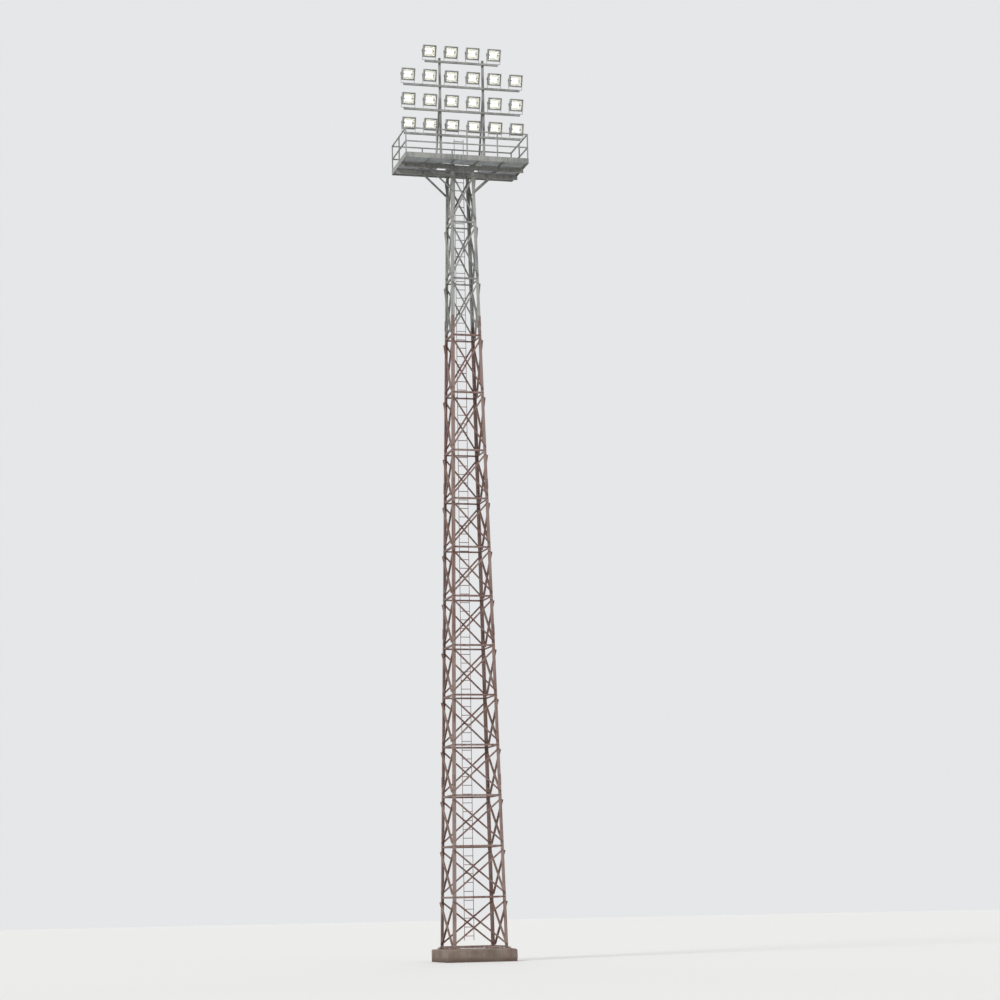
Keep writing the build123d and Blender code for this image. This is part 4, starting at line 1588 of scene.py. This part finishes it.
def stay_head(bm, x, nuts):
    """Plates on both sides of a stay's head, bolted through the stay, and the
    lines of the welds that join them to the upright's back."""
    foot = Vector((-upright_middle, bearer_high.z))
    head = Vector((upright_high.y, deck_high.z + stay_rise))
    down = (foot - head).normalized()
    across = Vector((-down.y, down.x)) * 0.026
    thickness = 0.006
    top = head + Vector((0, 0.095))
    bottom = head - Vector((0, 0.200))
    tip = head + down * 0.220
    outline = [top, bottom, tip - across, tip + across]
    weld_ends = (top.lerp(head, 0.05), bottom.lerp(head, 0.03))
    welds = []
    for turn in (-1, 1):
        outer = x + turn * (stay_size / 2 + thickness)
        add_prism(bm, outline, thickness, cut_across_x(min(outer, outer - turn * thickness)))
        for distance in (0.105, 0.180):
            point = head + down * distance
            nuts.append(level_bolt(outer, point.x, point.y, turn * pi / 2))
        welds.append([(outer, end.x, end.y) for end in weld_ends])
    return welds


def end_caps():
    """Caps on the beams' ends and on the uprights' tops."""
    beam_low, beam_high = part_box("lamp_frame_beams")
    cap = 0.004
    inset = 0.001
    bevel = 0.0015
    bm = bmesh.new()
    for count, (under, over) in zip(lamps_in_rows, beam_levels()):
        reach = beam_high.x - (max(lamps_in_rows) - count) * lamp_pitch / 2
        for side in (-1, 1):
            left, right = sorted((side * reach, side * (reach + cap)))
            add_box(bm, (left, beam_low.y + inset, under + inset),
                    (right, beam_high.y - inset, over - inset), bevel)
    half = upright_width / 2 - inset
    for x in (-lamp_pitch, lamp_pitch):
        add_box(bm, (x - half, upright_low.y + inset, upright_high.z),
                (x + half, upright_high.y - inset, upright_high.z + cap), bevel)
    return mesh_from(bm, "frame_end_caps")


class PYLON_OT_fix_lamp_frame(bpy.types.Operator):
    """Add the cleats, plates, bolts, welds and end caps of the lamp frame"""

    bl_idname = "pylon.fix_lamp_frame"
    bl_label = "Fix Lamp Frame"

    def execute(self, context):
        paint = finish("platform_paint")
        beam_low, beam_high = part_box("lamp_frame_beams")
        beam_middle = (beam_low.y + beam_high.y) / 2
        cleats = []
        nuts = []
        welds = []
        size = 0.056
        thickness = 0.006
        bm = bmesh.new()
        for x in (-lamp_pitch, lamp_pitch):
            welds += stay_head(bm, x, nuts)
            for under, over in beam_levels():
                bolt_level = under - 0.036
                cleats.append(place(x, upright_low.y, under))
                for shift in (-0.022, 0.022):
                    nuts.append(level_bolt(x + shift, upright_low.y - thickness, bolt_level, 0.0))
                    nuts.append(level_bolt(x + shift, upright_high.y, bolt_level, pi))
                    nuts += upright_bolt(x + shift, beam_middle, under - thickness, over)
            bolt_level = bearer_high.z + 0.032
            for foot_y, half in ((upright_middle, upright_width / 2), (-upright_middle, stay_size / 2)):
                for turn in (-1, 1):
                    face = x + turn * half
                    heading = turn * pi / 2
                    cleats.append(place(face, foot_y, bearer_high.z, heading, True))
                    nuts.append(place(face + turn * 0.034, foot_y, bearer_high.z + thickness))
                    nuts.append(level_bolt(face + turn * thickness, foot_y, bolt_level, heading))
        cleat = angle_cleat("frame_cleat", size, thickness, size)
        grow_copies("frame_cleats", cleat, cleats, paint, "frame_steel")
        small_fasteners("frame_bolts", nuts, finish("grey_bolt_paint"), "frame_steel")
        bmesh.ops.bevel(bm, geom=bm.edges[:], offset=0.0008, segments=1, affect="EDGES")
        add_piece("stay_head_plates", mesh_from(bm, "stay_head_plates"), paint)
        grow_welds("frame_welds", welds, paint, "frame_steel", radius=0.004, step=0.005)
        add_piece("frame_end_caps", end_caps(), finish("black_rubber"))
        return {"FINISHED"}


def lamp_places(row, tilted=True):
    """Matrices of the pivots of one row's lamps."""
    low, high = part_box(f"lamp_stirrups_row_{row + 1}")
    count = lamps_in_rows[row]
    y = (low.y + high.y) / 2
    tilt = Matrix.Rotation(lamp_tilt if tilted else 0.0, 4, "X")
    across = [(index - (count - 1) / 2) * lamp_pitch for index in range(count)]
    return [place(x, y, low.z + stirrup_drop) @ tilt for x in across]


def all_lamp_places(tilted=True):
    return [spot for row in range(len(lamps_in_rows)) for spot in lamp_places(row, tilted)]


def reflector_bowl(look):
    """A hammered bowl, square at its rim and round at its bottom, with how
    deep each point lies kept as its glow."""
    rim_y = lamp_front + 0.001
    bottom = (0.072, 0.050)
    rim = (window_width / 2 + 0.004, window_height / 2 + 0.004)
    rings = 12
    points = 48
    bm = bmesh.new()
    glow = bm.verts.layers.float.new("glow")
    made = []
    for ring in range(rings + 1):
        share = ring / rings
        power = 2.0 + 7.0 * share
        y = rim_y + look.bowl_depth * (1 - share ** 2.2)
        reach = [b + (r - b) * share for b, r in zip(bottom, rim)]
        loop = []
        for index in range(points):
            turn = 2 * pi * (index + 0.5) / points
            x = reach[0] * abs(cos(turn)) ** (2 / power) * (1 if cos(turn) > 0 else -1)
            z = reach[1] * abs(sin(turn)) ** (2 / power) * (1 if sin(turn) > 0 else -1)
            vertex = bm.verts.new((x, y, z))
            vertex[glow] = 1 - share
            loop.append(vertex)
        made.append(loop)
    for first, second in zip(made, made[1:]):
        bridge(bm, first, second)
    bm.faces.new(made[0])
    bmesh.ops.recalc_face_normals(bm, faces=bm.faces)
    bmesh.ops.solidify(bm, geom=bm.faces[:], thickness=0.0012)
    return mesh_from(bm, "reflector_bowl")


def lamp_tube(look):
    """The lit tube in a bowl, with domed ends, along X."""
    half = look.tube_length / 2
    radius = look.tube_radius
    dome = [(radius * sin(step * pi / 10), radius * (1 - cos(step * pi / 10))) for step in range(1, 6)]
    profile = [(r, rise - half) for r, rise in dome] + [(r, half - rise) for r, rise in reversed(dome)]
    bm = bmesh.new()
    add_lathe(bm, profile, 20, Matrix.Translation((0, tube_y, 0)) @ Matrix.Rotation(pi / 2, 4, "Y"))
    return mesh_from(bm, "lamp_tube")


def lamp_holders(look):
    """The ceramic holders at both ends of the tube."""
    profile = [(0.017, 0), (0.019, 0.002), (0.019, 0.020), (0.025, 0.024), (0.025, 0.050)]
    reach = look.tube_length / 2 - 0.012
    bm = bmesh.new()
    for side in (-1, 1):
        placed = Matrix.Translation((side * reach, tube_y, 0)) @ Matrix.Rotation(side * pi / 2, 4, "Y")
        add_lathe(bm, profile, 20, placed)
    return mesh_from(bm, "lamp_holders")


def glass_gasket():
    """The black frame that presses the glass into the bezel."""
    seat = ((window_width + glass_seat) / 2 - 0.001, (window_height + glass_seat) / 2 - 0.001)
    inner = (window_width / 2 - 0.002, window_height / 2 - 0.002)
    levels = ((seat, glass_front - 0.0002), (seat, glass_front - 0.0050), (inner, glass_front - 0.0035),
              (inner, glass_front - 0.0002))
    bm = bmesh.new()
    rings = []
    for (x, z), y in levels:
        corners = ((-x, -z), (x, -z), (x, z), (-x, z))
        rings.append([bm.verts.new((cx, y, cz)) for cx, cz in corners])
    for first, second in zip(rings, rings[1:] + rings[:1]):
        bridge(bm, first, second)
    return mesh_from(bm, "glass_gasket")


class PYLON_OT_fit_lamp_optics(bpy.types.Operator):
    """Fit each floodlight's reflector, tube, holders and glass gasket"""

    bl_idname = "pylon.fit_lamp_optics"
    bl_label = "Fit Lamp Optics"

    def execute(self, context):
        look = context.scene.pylon_lamps
        for row in range(len(lamps_in_rows)):
            spots = lamp_places(row)
            for name, shape, lit, slot in (
                ("lamp_reflectors", reflector_bowl, "lit_reflector", "lamp_casting"),
                ("lamp_tubes", lamp_tube, "lit_tube", "lamp_glass"),
            ):
                grow_copies(f"{name}_row_{row + 1}", shape(look), spots, finish(lit), slot)
        spots = all_lamp_places()
        grow_copies("lamp_holders", lamp_holders(look), spots, finish("lamp_ceramic"), None)
        grow_copies("glass_gaskets", glass_gasket(), spots, finish("black_rubber"), None)
        return {"FINISHED"}


def bezel_clips():
    """Over-centre clips on both sides of the bezel, hooked on the body."""
    outer = lamp_width / 2 + bezel_border
    body = lamp_width / 2
    front = lamp_front - bezel_depth
    skin = 0.002
    outline = [
        (outer - 0.006, front - skin), (outer + skin, front - skin), (outer + skin, lamp_front + 0.004),
        (body + 0.004, lamp_front + 0.030), (body + 0.004, lamp_front + 0.052), (body, lamp_front + 0.052),
        (body, lamp_front + 0.028), (outer, lamp_front + 0.002), (outer, front), (outer - 0.006, front),
    ]
    bm = bmesh.new()
    for side in (-1, 1):
        for level in (-0.125, 0.125):
            placed = Matrix.Translation((0, 0, level - 0.012))
            add_prism(bm, [(side * x, y) for x, y in outline], 0.024, placed)
            left, right = sorted((side * body, side * (body + 0.006)))
            add_box(bm, (left, lamp_front + 0.044, level - 0.017),
                    (right, lamp_front + 0.062, level + 0.017), 0.001)
    return mesh_from(bm, "bezel_clips")


def gear_box_trim():
    """The gear box's lid seam, corner screws, cable gland and breather."""
    bm = bmesh.new()
    half_x = gear_box_width / 2
    half_z = gear_box_height / 2
    seam = gear_box_front + 0.052
    seam_back = seam + 0.005
    lip = 0.003
    x = half_x + lip
    z = half_z + lip
    for low, high in (
        ((-x, seam, z - lip), (x, seam_back, z)),
        ((-x, seam, -z), (x, seam_back, lip - z)),
        ((-x, seam, lip - z), (lip - x, seam_back, z - lip)),
        ((x - lip, seam, lip - z), (x, seam_back, z - lip)),
    ):
        add_box(bm, low, high)
    back = gear_box_front + gear_box_depth
    screw_inset = 0.010
    for sx in (-1, 1):
        for sz in (-1, 1):
            spot = (sx * (half_x - screw_inset), back, sz * (half_z - screw_inset))
            placed = Matrix.Translation(spot) @ Matrix.Rotation(-pi / 2, 4, "X")
            add_lathe(bm, [(0.0055, 0), (0.0055, 0.002), (0.004, 0.0035)], 12, placed)
    gland, breather = [
        Matrix.Translation((x, gear_box_front + 0.028, -half_z)) @ Matrix.Rotation(pi, 4, "X")
        for x in (0.055, -0.055)
    ]
    add_lathe(bm, [(0.015, 0), (0.015, 0.008)], 6, gland)
    add_lathe(bm, [(0.0135, 0.008), (0.0135, 0.016), (0.012, 0.022), (0.007, 0.027)], 16, gland)
    add_lathe(bm, [(0.009, 0), (0.009, 0.006), (0.006, 0.009)], 12, breather)
    return mesh_from(bm, "gear_box_trim")


def bezel_screws():
    """Pan-head screws round the bezel's front."""
    bm = bmesh.new()
    front = lamp_front - bezel_depth
    x = lamp_width / 2 - 0.001
    z = lamp_height / 2 - 0.001
    spots = [(sx * x, sz * share * z) for sx in (-1, 1) for sz in (-1, 1) for share in (0.96, 0.30)]
    spots += [(sx * share * x, sz * z) for sx in (-1, 1) for sz in (-1, 1) for share in (0.62, 0.20)]
    for spot_x, spot_z in spots:
        profile = [(0.0045, 0), (0.0045, 0.0014), (0.003, 0.0026)]
        add_lathe(bm, profile, 10, level_bolt(spot_x, front, spot_z, 0.0))
    return mesh_from(bm, "bezel_screws")


def aiming_plates():
    """Notched half discs on the stirrup's arms, which show the lamp's tilt."""
    bm = bmesh.new()
    radius = 0.070
    steps = 36
    outline = []
    for step in range(steps + 1):
        turn = -pi * step / steps
        for share, shift in ((1.0, -0.2), (0.955, 0.0), (1.0, 0.2)):
            angle = turn + shift * pi / steps
            outline.append((radius * share * cos(angle), radius * share * sin(angle)))
    outline += [(-0.026, 0.018), (0.026, 0.018)]
    for side in (-1, 1):
        face = stirrup_inner + stirrup_thickness
        flat = [(side * x, y) for x, y in outline]
        placed = Matrix.Translation((side * face, 0, 0)) @ Matrix.Rotation(side * pi / 2, 4, "Y")
        placed = placed @ Matrix.Rotation(pi / 2, 4, "Z")
        add_prism(bm, flat, 0.002, placed)
    return mesh_from(bm, "aiming_plates")


class PYLON_OT_fit_lamp_trim(bpy.types.Operator):
    """Fit each floodlight's clips, screws, gland, aiming plates and bolts"""

    bl_idname = "pylon.fit_lamp_trim"
    bl_label = "Fit Lamp Trim"

    def execute(self, context):
        spots = all_lamp_places()
        upright_spots = all_lamp_places(tilted=False)
        steel = finish("galvanised_steel")
        grow_copies("bezel_clips", bezel_clips(), spots, steel, "stirrup_steel")
        grow_copies("bezel_screws", bezel_screws(), spots, steel, "stirrup_steel")
        grow_copies("gear_box_trim", gear_box_trim(), spots, finish("dull_casting"), "lamp_casting")
        grow_copies("aiming_plates", aiming_plates(), upright_spots, steel, "stirrup_steel")
        bolts = []
        face = stirrup_inner + stirrup_thickness + 0.002
        foot = stirrup_drop - stirrup_thickness
        under, over = beam_levels()[0]
        for spot in upright_spots:
            for side in (-1, 1):
                x = side * 0.10
                bolts.append(spot @ level_bolt(side * face, 0, 0, side * pi / 2))
                bolts.append(spot @ place(x, 0, -foot))
                bolts.append(spot @ place(x, 0, under - over - stirrup_drop, 0, True))
        small_fasteners("stirrup_bolts", bolts, steel, "stirrup_steel")
        return {"FINISHED"}


# Stage


class PYLON_OT_build_stage(bpy.types.Operator):
    """Set the floor, the soft lights and the camera"""

    bl_idname = "pylon.build_stage"
    bl_label = "Build Stage"

    def execute(self, context):
        look = context.scene.pylon_stage
        scene = context.scene
        bm = bmesh.new()
        bmesh.ops.create_circle(bm, cap_ends=True, segments=96, radius=420)
        floor = bpy.data.objects.new("stage_floor", mesh_from(bm, "stage_floor"))
        scene.collection.objects.link(floor)
        floor.location.z = -0.002
        floor.data.materials.append(studio_floor("studio_floor", look))
        for name, azimuth, elevation, strength, spread in (
            ("key_light", -0.95, 0.60, 1.9, 0.35),
            ("fill_light", 0.75, 0.35, 0.6, 1.0),
            ("rim_light", 2.9, 0.80, 0.8, 0.6),
        ):
            add_sun(name, azimuth, elevation, strength, spread)
        set_backdrop(scene, look.backdrop)
        add_camera(scene, look)
        scene.view_settings.view_transform = "Standard"
        return {"FINISHED"}


def studio_floor(name, look):
    """A pale floor that throws back less light than it shows, so that what
    stands on it keeps its shade."""
    material, tree, shader = new_material(name, {"Roughness": 0.9})
    seen = pale_rays(tree)
    drift = remap(tree, object_noise(tree, 0.3), 0.3, 0.7)
    bounce = mix(tree, drift, look.floor_bounce, [c * 0.97 for c in look.floor_bounce[:3]] + [1.0])
    tree.links.new(mix(tree, seen, bounce, look.floor), shader.inputs["Base Color"])
    return material


def pale_rays(tree):
    """1 for what the camera sees, straight on or in gloss and glass."""
    rays = put(tree, "ShaderNodeLightPath").outputs
    seen = calc(tree, "ADD", rays["Is Camera Ray"], rays["Is Glossy Ray"])
    return calc(tree, "ADD", seen, rays["Is Transmission Ray"], clamp=True)


def add_sun(name, azimuth, elevation, strength, spread):
    """A wide, soft light from one side of the tower."""
    light = bpy.data.lights.new(name, "SUN")
    light.energy = strength
    light.angle = spread
    holder = bpy.data.objects.new(name, light)
    bpy.context.scene.collection.objects.link(holder)
    level = cos(elevation)
    towards = Vector((sin(azimuth) * level, -cos(azimuth) * level, sin(elevation)))
    holder.rotation_euler = towards.to_track_quat("Z", "Y").to_euler()


def set_backdrop(scene, colour):
    """Even light on the object, and a pale backdrop behind it and in its
    reflections."""
    world = bpy.data.worlds.new("studio_world")
    world.use_nodes = True
    scene.world = world
    tree = world.node_tree
    seen = pale_rays(tree)
    lighting = put(tree, "ShaderNodeBackground", {"Color": (1, 1, 1, 1), "Strength": 0.45}).outputs[0]
    backdrop = put(tree, "ShaderNodeBackground", {"Color": colour, "Strength": 1.0}).outputs[0]
    both = put(tree, "ShaderNodeMixShader", {0: seen, 1: lighting, 2: backdrop}).outputs[0]
    tree.links.new(both, tree.nodes["World Output"].inputs["Surface"])


def add_camera(scene, look):
    """The photograph's camera: where it stood, and how it was turned."""
    camera = bpy.data.cameras.new("photo_camera")
    camera.lens = look.lens
    camera.clip_end = 2000
    holder = bpy.data.objects.new("photo_camera", camera)
    scene.collection.objects.link(holder)
    stand = Vector((sin(look.azimuth), -cos(look.azimuth), 0)) * look.distance
    stand.z = look.height
    heading = look.azimuth + look.pan
    ahead = Vector((-sin(heading) * cos(look.pitch), cos(heading) * cos(look.pitch), sin(look.pitch)))
    right = Vector((cos(heading), sin(heading), 0))
    up = right.cross(ahead)
    rolled_right = right * cos(look.roll) + up * sin(look.roll)
    rolled_up = up * cos(look.roll) - right * sin(look.roll)
    axes = Matrix((rolled_right, rolled_up, -ahead)).transposed().to_4x4()
    holder.matrix_world = Matrix.Translation(stand) @ axes
    scene.camera = holder


SETTINGS = {
    "pylon_paint": PylonPaintSettings,
    "pylon_concrete": PylonConcreteSettings,
    "pylon_fixings": PylonFixingSettings,
    "pylon_grating": PylonGratingSettings,
    "pylon_lamps": PylonLampSettings,
    "pylon_stage": PylonStageSettings,
}

OPERATORS = (
    PYLON_OT_paint_steel,
    PYLON_OT_cast_plinth,
    PYLON_OT_set_feet,
    PYLON_OT_bolt_tower,
    PYLON_OT_weld_ladder,
    PYLON_OT_lay_grating,
    PYLON_OT_fix_platform,
    PYLON_OT_fix_lamp_frame,
    PYLON_OT_fit_lamp_optics,
    PYLON_OT_fit_lamp_trim,
    PYLON_OT_build_stage,
)


class PYLON_PT_sidebar(bpy.types.Panel):
    """Every step and every setting of the pylon"""

    bl_idname = "PYLON_PT_sidebar"
    bl_label = "Floodlight Pylon"
    bl_space_type = "VIEW_3D"
    bl_region_type = "UI"
    bl_category = "Pylon"

    def draw(self, context):
        for operator in OPERATORS:
            self.layout.operator(operator.bl_idname)
        for name in SETTINGS:
            box = self.layout.box()
            settings = getattr(context.scene, name)
            for label in settings.bl_rna.properties.keys():
                if label not in ("rna_type", "name"):
                    box.prop(settings, label)


CLASSES = (*SETTINGS.values(), *OPERATORS, PYLON_PT_sidebar)


def register():
    for kind in CLASSES:
        bpy.utils.register_class(kind)
    for name, group in SETTINGS.items():
        setattr(bpy.types.Scene, name, PointerProperty(type=group))


def unregister():
    for name in SETTINGS:
        delattr(bpy.types.Scene, name)
    for kind in reversed(CLASSES):
        bpy.utils.unregister_class(kind)


def main():
    register()
    bpy.ops.pylon.build_stage()
    bpy.ops.pylon.paint_steel()
    bpy.ops.pylon.cast_plinth()
    bpy.ops.pylon.set_feet()
    bpy.ops.pylon.bolt_tower()
    bpy.ops.pylon.weld_ladder()
    bpy.ops.pylon.lay_grating()
    bpy.ops.pylon.fix_platform()
    bpy.ops.pylon.fix_lamp_frame()
    bpy.ops.pylon.fit_lamp_optics()
    bpy.ops.pylon.fit_lamp_trim()


if __name__ == "__main__":
    main()
